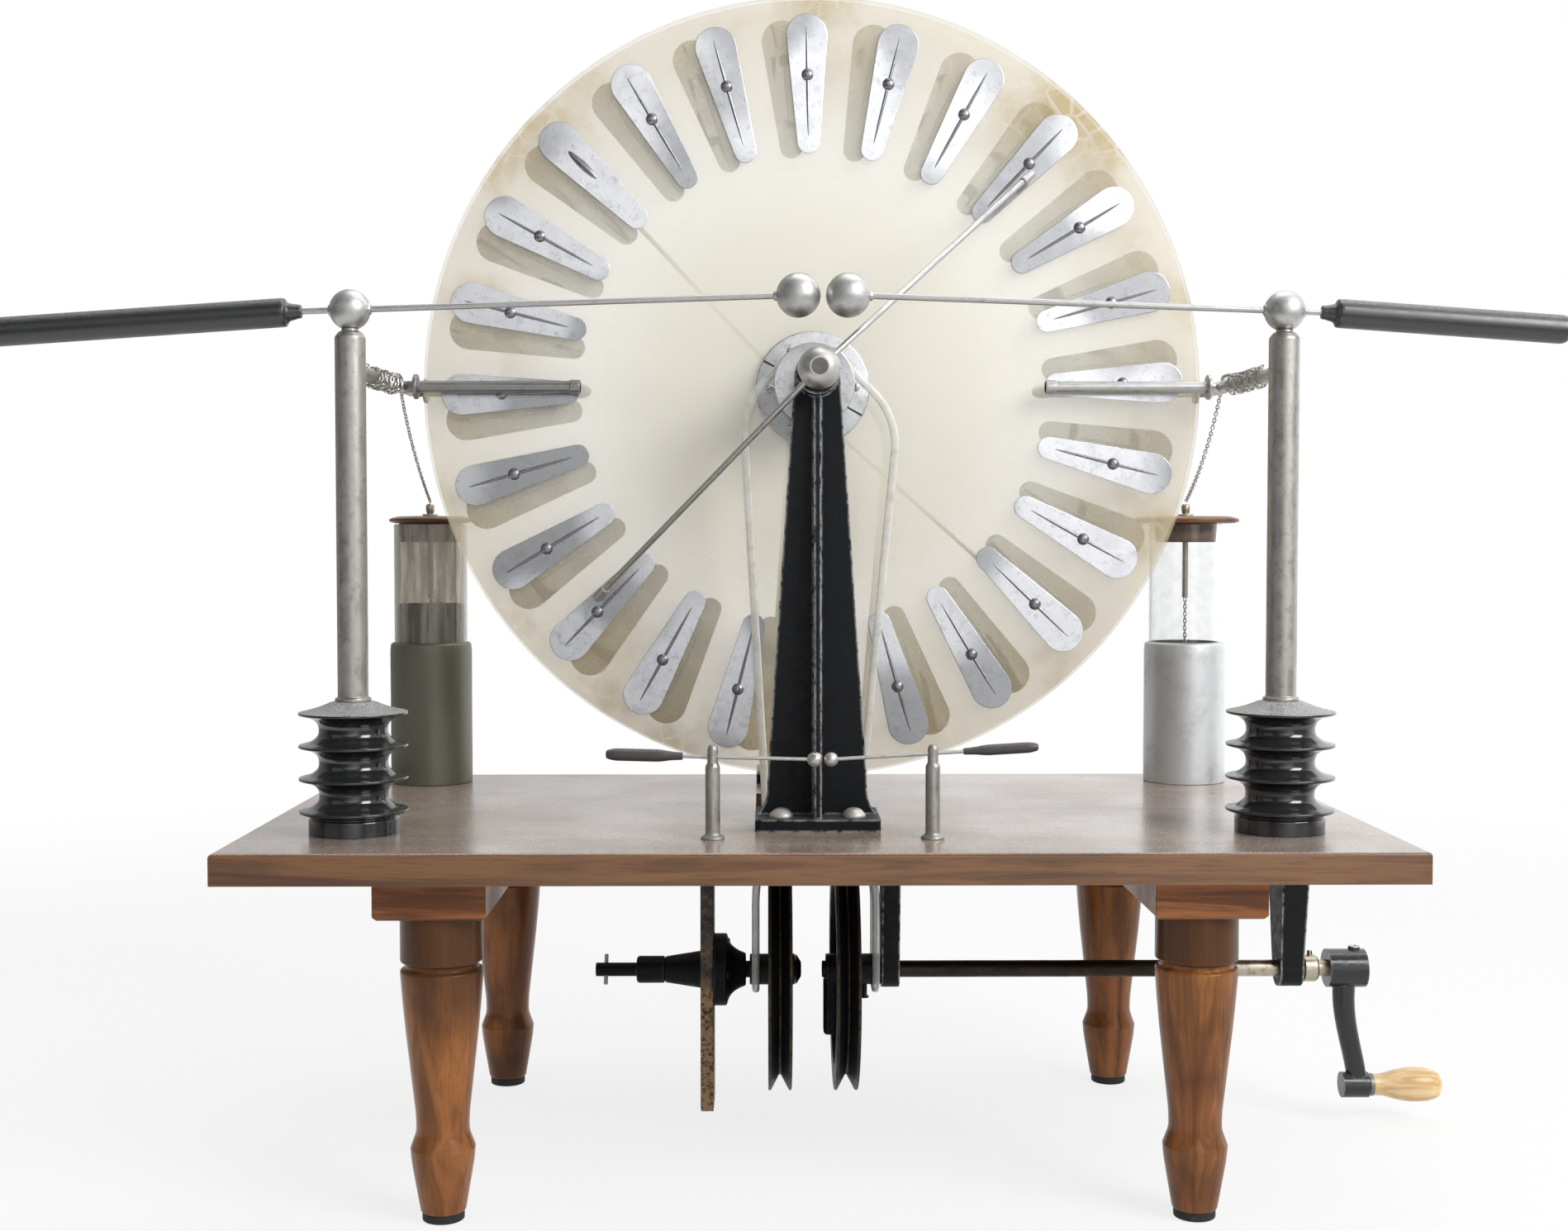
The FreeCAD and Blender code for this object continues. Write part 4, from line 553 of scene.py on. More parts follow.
@dataclass(frozen=True)
class IvorySheet(Finish):
    """The discs' translucent sheet, yellowed with age."""
    colour: Colour = (0.93, 0.9, 0.8)
    # The rim's yellow, also used for the painted shade low on the disc.
    aged_and_shade: Colour = (0.56, 0.43, 0.18)
    cover: float = 0.25
    middle: float = 0.22
    centre: Corner = (0, 0, 0)
    radius: float = 0.3

    def fill(self, recipe: Recipe) -> None:
        """A milky sheet, mottled with cells near the rim and yellowed there, with painted shade
        towards the bottom.

        Args:
            recipe: The material's nodes.
        """
        away = recipe.add("ShaderNodeVectorMath", operation="DISTANCE")
        recipe.feed(away, 0, recipe.place)
        away.inputs[1].default_value = self.centre
        rim = recipe.ramp(away.outputs["Value"], self.radius * 0.62, self.radius * 1.02)
        cloud = recipe.noise(11, 5, 0.62)
        mottle = recipe.ramp(recipe.cells(52, "DISTANCE_TO_EDGE"), 0.1, 0.02)
        patch = recipe.ramp(cloud, 0.46, 0.66)
        share = recipe.sum("MULTIPLY", rim, recipe.between(patch, 0.42, 1.0))
        colour = recipe.blend(share, self.colour, self.aged_and_shade)
        # Painted shade: the disc is darker towards the bottom, in the rim's yellow.
        low = recipe.ramp(recipe.part("Z"), self.centre[2] * 0.95, self.centre[2] * 0.5)
        colour = recipe.blend(recipe.sum("MULTIPLY", low, 0.42), colour, self.aged_and_shade)
        web = recipe.sum("MULTIPLY", recipe.sum("MULTIPLY", mottle, rim),
                         recipe.between(patch, 0.05, 0.5))
        colour = recipe.blend(web, colour, (0.95, 0.93, 0.86))
        specks = recipe.sum("MULTIPLY", recipe.ramp(recipe.noise(240, 3, 0.6), 0.73, 0.78), 0.6)
        colour = recipe.blend(specks, colour, (0.25, 0.19, 0.1))
        inner = recipe.ramp(away.outputs["Value"], self.radius * 0.62, self.radius * 0.3)
        cover = recipe.between(recipe.sum("MULTIPLY", rim, patch), self.cover, self.cover + 0.16)
        cover = recipe.sum("ADD", cover, recipe.sum("MULTIPLY", inner, self.middle))
        recipe.set(Base_Color=colour, Alpha=cover, IOR=1.49,
                   Roughness=recipe.between(cloud, 0.14, 0.34))
        recipe.relief(cloud, 0.0012, 0.12)


@dataclass(frozen=True)
class ClearGlass(Finish):
    """Clear blown glass with faint ripples."""
    tint: Colour = (0.95, 0.96, 0.96)
    dust: float = 0.03
    soil: Colour = (0.72, 0.71, 0.67)
    runs: float = 1.0

    def fill(self, recipe: Recipe) -> None:
        """A clear wall whose thickness wavers a little, with a film of dust.

        Args:
            recipe: The material's nodes.
        """
        ripple = recipe.noise(22, 2, 0.5, recipe.stretched((1, 1, 0.3)))
        long = recipe.stretched((1, 1, self.runs))
        film = recipe.ramp(recipe.noise(110, 3, 0.6, long), 0.4, 0.66)
        share = recipe.between(film, self.dust * 0.3, self.dust * 1.6)
        recipe.set(Base_Color=recipe.blend(share, self.tint, self.soil), Roughness=0.0,
                   IOR=1.46, Transmission_Weight=recipe.sum("SUBTRACT", 1.0, share))
        recipe.relief(ripple, 0.0008, 0.12)


@dataclass(frozen=True)
class SoftTube(Finish):
    """Clear soft tubing, milky where its wall is seen edge-on."""
    colour: Colour = (0.9, 0.9, 0.86)

    def fill(self, recipe: Recipe) -> None:
        """More cover towards the tube's edges, and a wet shine.

        Args:
            recipe: The material's nodes.
        """
        edge = recipe.add("ShaderNodeLayerWeight")
        recipe.feed(edge, "Blend", 0.35)
        cover = recipe.between(recipe.ramp(edge.outputs["Facing"], 0.1, 0.6), 0.45, 0.95)
        haze = recipe.noise(90, 4, 0.6)
        recipe.set(Base_Color=recipe.blend(recipe.ramp(haze, 0.4, 0.8), self.colour,
                                           (0.6, 0.59, 0.5)),
                   Alpha=cover, Roughness=0.13, IOR=1.5, Specular_IOR_Level=0.8)
        recipe.relief(haze, 0.0006, 0.2)


@dataclass(frozen=True)
class PadRubber(Finish):
    """Dull black rubber, scuffed near the floor."""

    def fill(self, recipe: Recipe) -> None:
        """A fine grain with paler scuffs.

        Args:
            recipe: The material's nodes.
        """
        grain = recipe.noise(650, 3, 0.6)
        scuff = recipe.ramp(recipe.noise(80, 4, 0.7), 0.55, 0.75)
        recipe.set(Base_Color=recipe.blend(scuff, (0.012, 0.012, 0.013), (0.06, 0.055, 0.05)),
                   Roughness=recipe.between(grain, 0.6, 0.85))
        recipe.relief(grain, 0.0002, 0.6)


BOARD = Timber("board_timber", (0.2, 0.094, 0.038), (0.09, 0.036, 0.014), "X", 0.25, 0.35,
               0.9, 240, 0.25, 0.5)
BATTEN = Timber("batten_timber", (0.31, 0.115, 0.04), (0.12, 0.04, 0.014), "X", 0.42, 0.1,
                0.0, 300, 0.45)
LEG = Timber("leg_timber", (0.35, 0.132, 0.037), (0.16, 0.058, 0.017), "Z", 0.3, 0.14, 0.0,
             230, 0.92, 0.2, 0.177)
GRIP = Timber("grip_timber", (0.84, 0.62, 0.35), (0.6, 0.38, 0.17), "X", 0.34, 0.3, 0.0, 420,
              0.3)
LID = Timber("lid_timber", (0.27, 0.11, 0.038), (0.08, 0.03, 0.012), "X", 0.4, 0.2, 0.2, 300)
IRON = Castings("black_casting", chip=(0.56, 0.56, 0.57), wear=1.0, shine=0.18)
DULL_IRON = Castings("dull_casting", gloss=0.45, wear=0.2, shine=0.12)
SLICK_IRON = Castings("black_enamel", gloss=0.12, wear=0.4, shine=0.6, skin=0.12)
WHEEL_IRON = Castings("wheel_casting", chip=(0.2, 0.13, 0.06), gloss=0.36, wear=0.9)
STRAP = StrapMetal("strap_metal")
NICKEL = Metal("nickel_plate", (0.54, 0.54, 0.53), 0.34, (0.24, 0.22, 0.2), 0.4)
POST = Metal("drawn_post", (0.43, 0.415, 0.39), 0.36, (0.22, 0.19, 0.15), 0.6, (1, 1, 0.3))
SHAFT = Metal("shaft_steel", (0.46, 0.41, 0.33), 0.26, (0.2, 0.11, 0.05), 0.7, (0.05, 1, 1))
DARK_SHAFT = Metal("oiled_shaft", (0.035, 0.03, 0.025), 0.36, (0.09, 0.045, 0.02), 0.6,
                   (0.05, 1, 1))
PLUG = Metal("axle_plug", (0.2, 0.18, 0.17), 0.42, (0.1, 0.07, 0.05), 0.5)
NOTCH = Ebonite("dark_notch", gloss=0.4, dust=0.1)
RIB = Metal("sector_rib", (0.3, 0.3, 0.32), 0.24, (0.1, 0.1, 0.1), 0.5)
BOLT = Metal("dusty_bolt", (0.62, 0.6, 0.56), 0.42, (0.3, 0.26, 0.2), 0.5)
# The last number sets big patches of painted shade on the front sectors.
SECTOR = Metal("pressed_sector", (0.76, 0.77, 0.8), 0.2, (0.36, 0.37, 0.41), 0.5, (1, 1, 1),
               0.00005, 0.65)
REAR_SECTOR = Metal("rear_sector", (0.56, 0.55, 0.5), 0.24, (0.3, 0.29, 0.24), 0.5, (1, 1, 1),
                    0.00005)
HUB = Metal("hub_alloy", (0.62, 0.63, 0.64), 0.22, (0.2, 0.2, 0.19), 0.55)
COMB_DARK = Metal("dull_comb", (0.33, 0.32, 0.31), 0.34, (0.16, 0.15, 0.13), 0.6)
CHAIN = Metal("link_chain", (0.5, 0.48, 0.45), 0.3, (0.28, 0.26, 0.22), 0.4)
SCREW = Metal("dark_screw", (0.2, 0.2, 0.2), 0.35, (0.08, 0.07, 0.06), 0.5)
EBONITE = Ebonite("polished_ebonite", gloss=0.13, dust=0.9, shine=1.0, dust_from=0.332)
# The handles' pale top from their dust is mostly a painted highlight, with some dust.
HANDLE = Ebonite("handle_ebonite", gloss=0.3, dust=0.45, chip=0.7, shine=1.0)
GAUGE_HANDLE = Ebonite("gauge_handle", (0.045, 0.038, 0.035), 0.4, 0.25)
FOIL = JarFoil("jar_foil")
# A darker copy of the foil, used on the left jar as painted shade.
SHADED_FOIL = JarFoil("shaded_left_foil", (0.17, 0.165, 0.13))
LINING = JarFoil("dark_lining", (0.15, 0.15, 0.14))
GLASS = ClearGlass("jar_glass")
OLD_GLASS = ClearGlass("dusty_jar_glass", (0.8, 0.76, 0.69), 0.3, (0.27, 0.24, 0.2), 0.12)
TUBE = SoftTube("clear_tube")
RUBBER = PadRubber("pad_rubber")


# --- Shaping ---------------------------------------------------------------------------------

def along(start: Corner, end: Corner) -> Matrix:
    """The move that stands a lathe piece on start and points it at end."""
    way = Vector(end) - Vector(start)
    return Matrix.Translation(start) @ way.to_track_quat("Z", "Y").to_matrix().to_4x4()


def at(x: float, y: float, z: float) -> Matrix:
    """A plain move."""
    return Matrix.Translation((x, y, z))


def lathe(outline: Sequence[Corner], steps: int = 72) -> bmesh.types.BMesh:
    """Spin an outline round Z.

    Args:
        outline: (radius, height) corners from the bottom up, or (radius, height, round).
        steps: Facets round the axis.

    Returns:
        The turned shape.
    """
    shape = bmesh.new()
    spots = [shape.verts.new((corner[0], 0, corner[1])) for corner in outline]
    pairs = list(zip(spots, spots[1:]))
    if outline[0][0] > 0 and outline[-1][0] > 0:
        pairs.append((spots[-1], spots[0]))
    for first, second in pairs:
        shape.edges.new((first, second))
    for spot, corner in zip(spots, outline):
        if len(corner) == 3:
            count = 3 if corner[2] < 1 else 6 if corner[2] < 4 else 12
            bmesh.ops.bevel(shape, geom=[spot], offset=corner[2], offset_type="OFFSET",
                            segments=count, profile=0.5, affect="VERTICES",
                            clamp_overlap=True, material=-1)
    bmesh.ops.spin(shape, geom=shape.verts[:] + shape.edges[:], cent=(0, 0, 0),
                   axis=(0, 0, 1), dvec=(0, 0, 0), angle=math.tau, steps=steps,
                   use_merge=True, use_duplicate=False)
    bmesh.ops.remove_doubles(shape, verts=shape.verts, dist=1e-4)
    bmesh.ops.recalc_face_normals(shape, faces=shape.faces)
    return shape


def ball(radius: float, steps: int = 64) -> bmesh.types.BMesh:
    """A sphere.

    Args:
        radius: The sphere's radius.
        steps: Facets round it.

    Returns:
        The sphere, middle at the origin.
    """
    shape = bmesh.new()
    bmesh.ops.create_uvsphere(shape, u_segments=steps, v_segments=steps // 2, radius=radius)
    return shape


def block(size: Corner, round_off: float, segments: int = 3) -> bmesh.types.BMesh:
    """A box with rounded edges.

    Args:
        size: Its three lengths.
        round_off: The edges' round.
        segments: Facets in each round.

    Returns:
        The shape, middle at the origin.
    """
    shape = bmesh.new()
    bmesh.ops.create_cube(shape, size=1, matrix=Matrix.Diagonal((*size, 1)))
    bmesh.ops.bevel(shape, geom=shape.edges[:], offset=round_off, offset_type="OFFSET",
                    segments=segments, profile=0.5, affect="EDGES", clamp_overlap=True,
                    material=-1)
    return shape


class Form:
    """One piece of the machine while its shapes are being put together."""

    def __init__(self, *parts: tuple[bmesh.types.BMesh, Matrix]) -> None:
        """Start a piece.

        Args:
            parts: Shapes with the moves that place them.
        """
        self.mesh = bmesh.new()
        for shape, move in parts:
            self.add(shape, move)

    def add(self, shape: bmesh.types.BMesh, move: Matrix = Matrix(), keep: bool = False) -> "Form":
        """Add a shape.

        Args:
            shape: The shape.
            move: Where it goes.
            keep: Whether the shape is needed again.

        Returns:
            The piece itself.
        """
        store = bpy.data.meshes.new("store")
        shape.to_mesh(store)
        store.transform(move)
        self.mesh.from_mesh(store)
        bpy.data.meshes.remove(store)
        if not keep:
            shape.free()
        return self

    def rod(self, start: Corner, end: Corner, radius: float, tip: Optional[float] = None,
            round_off: float = 0.2, steps: int = 32) -> "Form":
        """Add a round rod from start to end; tip is its radius there.

        Args:
            start: Its start.
            end: Its end.
            radius: Its radius at the start.
            tip: Its radius at the end, or the same.
            round_off: The round on its ends.
            steps: Facets round it.

        Returns:
            The piece itself.
        """
        length = (Vector(end) - Vector(start)).length
        tip = radius if tip is None else tip
        shape = lathe([(0, 0), (radius, 0, round_off), (tip, length, round_off), (0, length)],
                      steps)
        return self.add(shape, along(start, end))

    def finish(self, name: str, finish: Finish, body: str, slot: str, *nodes: str,
               smooth: float = SMOOTH_BELOW, move: Matrix = TO_FRAME) -> bpy.types.Object:
        """Dress the piece and hang it on its body.

        Args:
            name: The piece's name.
            finish: Its surface.
            body: The frame's body that carries it.
            slot: Not used.
            nodes: The frame's nodes that it stands for.
            smooth: Edges flatter than this angle are smooth.
            move: From the piece's own lengths to the frame's.

        Returns:
            The finished object.
        """
        mesh = bpy.data.meshes.new(name)
        self.mesh.to_mesh(mesh)
        self.mesh.free()
        mesh.transform(move)
        mesh.shade_smooth()
        mesh.set_sharp_from_angle(angle=math.radians(smooth))
        mesh.materials.append(finish.material())
        piece = bpy.data.objects.new(name, mesh)
        bpy.context.scene.collection.objects.link(piece)
        even = piece.modifiers.new("even", "WEIGHTED_NORMAL")
        even.keep_sharp = True
        even.weight = 100
        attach(piece, body)
        if nodes:
            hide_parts(*nodes)
        LOG.info("%s: %d faces", name, len(mesh.polygons))
        return piece


def dress(node: str, finish: Finish) -> None:
    """Give a frame node a better surface.

    Args:
        node: The frame's node.
        finish: Its surface.
    """
    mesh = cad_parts[node].data
    mesh.materials.clear()
    mesh.materials.append(finish.material())
    LOG.info("%s: dressed", node)


def refine(node: str, finish: Finish, body: str, slot: str, round_off: float = 0.6,
           sharp: float = 35, segments: int = 2) -> bpy.types.Object:
    """Stand a softened copy in for a frame node.

    Args:
        node: The frame's node.
        finish: Its surface.
        body: The body that carries it.
        slot: Handed on to Form.finish, which does not use it.
        round_off: The round on its hard edges, in millimetres.
        sharp: Edges with a larger angle are hard.
        segments: Facets in each round.

    Returns:
        The finished object.
    """
    form = Form()
    shape = form.mesh
    shape.from_mesh(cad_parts[node].data)
    bmesh.ops.remove_doubles(shape, verts=shape.verts, dist=1e-6)
    bmesh.ops.dissolve_limit(shape, angle_limit=math.radians(0.5), verts=shape.verts,
                             edges=shape.edges)
    hard = [edge for edge in shape.edges
            if edge.is_manifold and edge.calc_face_angle(0) > math.radians(sharp)]
    if round_off and hard:
        bmesh.ops.bevel(shape, geom=hard, offset=round_off / 1000, offset_type="OFFSET",
                        segments=segments, profile=0.5, affect="EDGES", clamp_overlap=True,
                        material=-1)
    return form.finish(f"{node}_shell", finish, body, slot, node, move=Matrix())


# --- The machine's sub-assemblies ------------------------------------------------------------

@dataclass
class Stand:
    """The board on its battens and turned legs, the two columns and the fixed axle."""
    leg_x: float = 255.0
    front_y: float = -210.0
    back_y: float = 118.0
    leg_top: float = 209.0
    collar: float = 177.0
    pad: float = 6.0
    board_top: float = 256.0
    column_y: float = 133.2
    foot: float = 8.6
    axle_z: float = 576.6
    axle_end: float = 198.6

    def build(self) -> None:
        """Build every piece of the stand."""
        dress("base_board", BOARD)
        for batten in ("left_batten", "right_batten"):
            refine(batten, BATTEN, "stand", "board_wood", 0.8)
        self.legs()
        self.columns()
        self.axle()

    def leg(self) -> bmesh.types.BMesh:
        """A turned leg with its foot, bulge, waist, swell and grooved collar.

        Returns:
            The leg round Z, foot down.
        """
        collar = self.collar
        return lathe([
            (0, self.pad), (14.3, self.pad), (15.3, self.pad + 1, 0.5), (21.6, 43.5, 9),
            (21.8, 50, 4), (17.9, 60.5, 2.5), (17.7, 70, 8), (21.6, 104, 26), (25.6, 140, 22),
            (27.8, collar - 9, 2), (27.8, collar - 6, 1), (24.5, collar - 4.5, 0.8),
            (24.5, collar - 1.5, 0.8), (27.8, collar, 1), (27.8, self.leg_top),
            (0, self.leg_top),
        ], 96)

    def legs(self) -> None:
        """The four legs and the pads under them."""
        pads = Form()
        for side in Side:
            for mark, y in (("front", self.front_y), ("back", self.back_y)):
                x = side.value * self.leg_x
                turned = Form((self.leg(), at(x, y, 0) @ Matrix.Rotation(x + y, 4, "Z")))
                name = f"{mark}_{side.name.lower()}_leg"
                turned.finish(f"{name}_turned", LEG, "stand", "leg_wood", name)
                pads.add(lathe([(0, 0), (14.2, 0, 1.2), (14.2, self.pad, 0.6),
                                (0, self.pad)], 48), at(x, y, 0))
        pads.finish("rubber_pads", RUBBER, "stand", "foot_rubber", "foot_pads")

    def columns(self) -> None:
        """The columns and the domed bolts that hold them down."""
        bolts = Form()
        for node, sign in (("front_column", -1), ("rear_column", 1)):
            refine(node, IRON, "stand", "black_iron", 0.9, 28)
            for x in (-25.5, 25.5):
                for y in (-17, 17):
                    low = self.board_top + self.foot
                    dome = lathe([(0, low), (8.5, low, 0.2), (8.5, low + 1.5, 0.6),
                                  (6.4, low + 4.6, 2.6), (2.8, low + 6.5, 1.5),
                                  (0, low + 6.5)], 40)
                    bolts.add(dome, at(x, sign * self.column_y + y, 0))
        bolts.finish("domed_bolts", BOLT, "stand", "steel", "column_bolts")

    def axle(self) -> None:
        """The axle with its collars and the chamfered ends that show in the balls."""
        half = [(6.5, 3.7), (6.5, 68.3), (11, 68.3, 0.4), (11, 75.3, 0.8), (6.5, 75.3),
                (6.5, self.axle_end, 0.9), (0, self.axle_end)]
        mirrored = [(corner[0], -corner[1], *corner[2:]) for corner in reversed(half)]
        spacer = [(11, -3.7, 0.3), (11, 3.7, 0.3)]
        turned = lathe(mirrored + spacer + half, 48)
        form = Form((turned, at(0, 0, self.axle_z) @ Matrix.Rotation(math.pi / 2, 4, "X")))
        form.finish("axle_bar", SCREW, "stand", "steel", "disc_axle")


@dataclass
class Rotor:
    """One disc with its ring of sectors and its hub."""
    face: Face
    turn: float
    radius: float = 300.0
    near: float = 4.0
    thick: float = 4.0
    axle_z: float = 576.6
    sectors: int = 24
    odd: int = 3
    sector_low: float = 188.7
    sector_high: float = 270.7
    sector_foot: float = 8.7
    sector_head: float = 15.8
    sector_thick: float = 0.7
    stud_place: float = 240.0
    spigot: float = 14.0
    flange: float = 44.0
    flange_thick: float = 4.5
    sleeve: float = 17.0
    pulley: float = 30.5
    screws: int = 6
    screw_circle: float = 33.0
    slot_turn: float = 151.0

    @property
    def name(self) -> str:
        """The rotor's side, as its nodes are named."""
        return self.face.name.lower()

    @property
    def stance(self) -> Matrix:
        """From lathe lengths, outwards along Z, to the machine."""
        flip = Matrix.Rotation(0 if self.face is Face.FRONT else math.pi, 4, "Z")
        return at(0, 0, self.axle_z) @ flip @ Matrix.Rotation(math.pi / 2, 4, "X")

    def build(self) -> None:
        """Build the disc, its sectors and its hub."""
        body = f"{self.name}_rotor"
        low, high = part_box(f"{self.name}_disc")
        sheet = IvorySheet(f"{self.name}_sheet", centre=tuple((low + high) / 2))
        outer = self.near + self.thick
        disc = lathe([(14.05, self.near), (self.radius, self.near, 0.8),
                      (self.radius, outer, 0.8), (14.05, outer)], 256)
        Form((disc, self.stance)).finish(f"{self.name}_disc_sheet", sheet, body, "disc_sheet",
                                         f"{self.name}_disc")
        self.ring(body)
        self.hub(body)

    def sector(self) -> bmesh.types.BMesh:
        """A pressed teardrop with a soft edge, upright over the axle.

        Returns:
            One sector on the disc's face.
        """
        outer = self.near + self.thick
        low, high = self.sector_low, self.sector_high
        small, large = self.sector_foot, self.sector_head
        lean = math.asin((large - small) / (high - low))
        rim = []
        for centre, radius, first, last in ((high, large, -lean, math.pi + lean),
                                            (low, small, math.pi + lean, math.tau - lean)):
            for step in range(25):
                angle = first + (last - first) * step / 24
                rim.append((radius * math.cos(angle), centre + radius * math.sin(angle), outer))
        blade = bmesh.new()
        flat = blade.faces.new([blade.verts.new(spot) for spot in rim])
        top = bmesh.ops.extrude_face_region(blade, geom=[flat])["geom"]
        verts = [part for part in top if isinstance(part, bmesh.types.BMVert)]
        bmesh.ops.translate(blade, verts=verts, vec=(0, 0, self.sector_thick))
        bmesh.ops.recalc_face_normals(blade, faces=blade.faces)
        crown = [edge for edge in blade.edges
                 if all(vert.co.z > outer + 0.6 for vert in edge.verts)]
        bmesh.ops.bevel(blade, geom=crown, offset=0.45, offset_type="OFFSET", segments=2,
                        profile=0.5, affect="EDGES", clamp_overlap=True, material=-1)
        return blade

    def rib(self, ribbed: bool) -> bmesh.types.BMesh:
        """What is raised on a sector: a tapered rib with a domed stud, or a short bump.

        Args:
            ribbed: Whether it is a rib with a stud.

        Returns:
            The raised shape.
        """
        face = self.near + self.thick + self.sector_thick
        form = Form()
        if ribbed:
            form.add(ball(1, 24), at(0, 235, face) @ Matrix.Diagonal((1.25, 42, 0.95, 1)))
            stud = lathe([(0, face), (4.6, face, 0.2), (4.6, face + 0.7, 0.4),
                          (3.4, face + 2.3, 1.2), (1.2, face + 2.9, 0.5), (0, face + 2.9)], 28)
            form.add(stud, at(0, self.stud_place, 0))
        else:
            form.add(ball(1, 24), at(0, 246, face) @ Matrix.Diagonal((3, 15, 2, 1)))
        return form.mesh

    def ring(self, body: str) -> None:
        """The ring of sectors; one of the front disc's has only a bump.

        Args:
            body: The body that carries it.
        """
        blades, ribs = Form(), Form()
        blade = self.sector()
        shapes = {ribbed: self.rib(ribbed) for ribbed in (True, False)}
        for number in range(self.sectors):
            ribbed = self.face is Face.REAR or number != self.odd
            angle = math.radians(self.turn) + math.tau * number / self.sectors
            move = self.stance @ Matrix.Rotation(angle, 4, "Z")
            blades.add(blade, move, keep=True)
            ribs.add(shapes[ribbed], move, keep=True)
        for shape in (blade, *shapes.values()):
            shape.free()
        finish = SECTOR if self.face is Face.FRONT else REAR_SECTOR
        blades.finish(f"{self.name}_sector_ring", finish, body, "sector_metal",
                      f"{self.name}_sectors")
        ribs.finish(f"{self.name}_sector_ribs", RIB, body, "sector_metal")

    def screw_places(self) -> list[tuple[float, float, float]]:
        """Where the flange's screws sit.

        Returns:
            Each screw's angle, and its place across the axle.
        """
        angles = [math.radians(30 + 360 / self.screws * number) for number in range(self.screws)]
        return [(angle, self.screw_circle * math.cos(angle), self.screw_circle * math.sin(angle))
                for angle in angles]

    def hub(self, body: str) -> None:
        """The slotted flange with its screws, the sleeve and the grooved pulley.

        Args:
            body: The body that carries it.
        """
        face = self.near + self.thick
        back = face + self.flange_thick
        flange, sleeve, pulley = self.flange, self.sleeve, self.pulley
        turned = lathe([
            (SHAFT_BORE, self.near), (self.spigot, self.near), (self.spigot, face),
            (flange, face, 0.3), (flange, back - 0.9, 0.9), (36, back, 3),
            (31.5, back + 0.6, 0.4), (19.5, back + 0.8, 0.4), (sleeve, back, 0.5),
            (sleeve, 40, 1), (pulley, 40, 0.8), (pulley, 44.2, 0.6), (24.4, 49.9, 2.6),
            (pulley, 55.8, 0.6), (pulley, 60, 0.8), (11, 60, 0.6), (11, 68, 0.8),
            (SHAFT_BORE, 68),
        ], 96)
        spin = self.stance @ Matrix.Rotation(math.radians(self.slot_turn), 4, "Z")
        form = Form((turned, self.stance))
        for _, x, y in self.screw_places():
            head = lathe([(0, back), (3.2, back), (3.2, back + 1.4, 0.3),
                          (2.2, back + 2.2, 0.5), (0, back + 2.2)], 24)
            form.add(head, spin @ at(x, y, 0))
        form.finish(f"{self.name}_hub_turned", HUB, body, "hub_metal", f"{self.name}_hub")
        slots = Form()
        for side in (-1, 1):
            slots.add(block((24, 1.3, 1.6), 0.2, 1), spin @ at(side * 31.2, 0, back + 0.35))
        for angle, x, y in self.screw_places():
            slots.add(block((5.2, 0.7, 0.5), 0.1, 1),
                      spin @ at(x, y, back + 2.1) @ Matrix.Rotation(angle * 2.3, 4, "Z"))
        for angle, radius, width in ((64, 25, 7), (83, 27, 4), (104, 27, 4), (127, 26, 7),
                                     (-12, 22, 16), (205, 26, 7)):
            notch = self.stance @ Matrix.Rotation(math.radians(angle), 4, "Z")
            slots.add(block((4, width, 2), 0.4, 2), notch @ at(radius, 0, back + 0.6))
        slots.finish(f"{self.name}_hub_slots", NOTCH, body, "hub_metal")


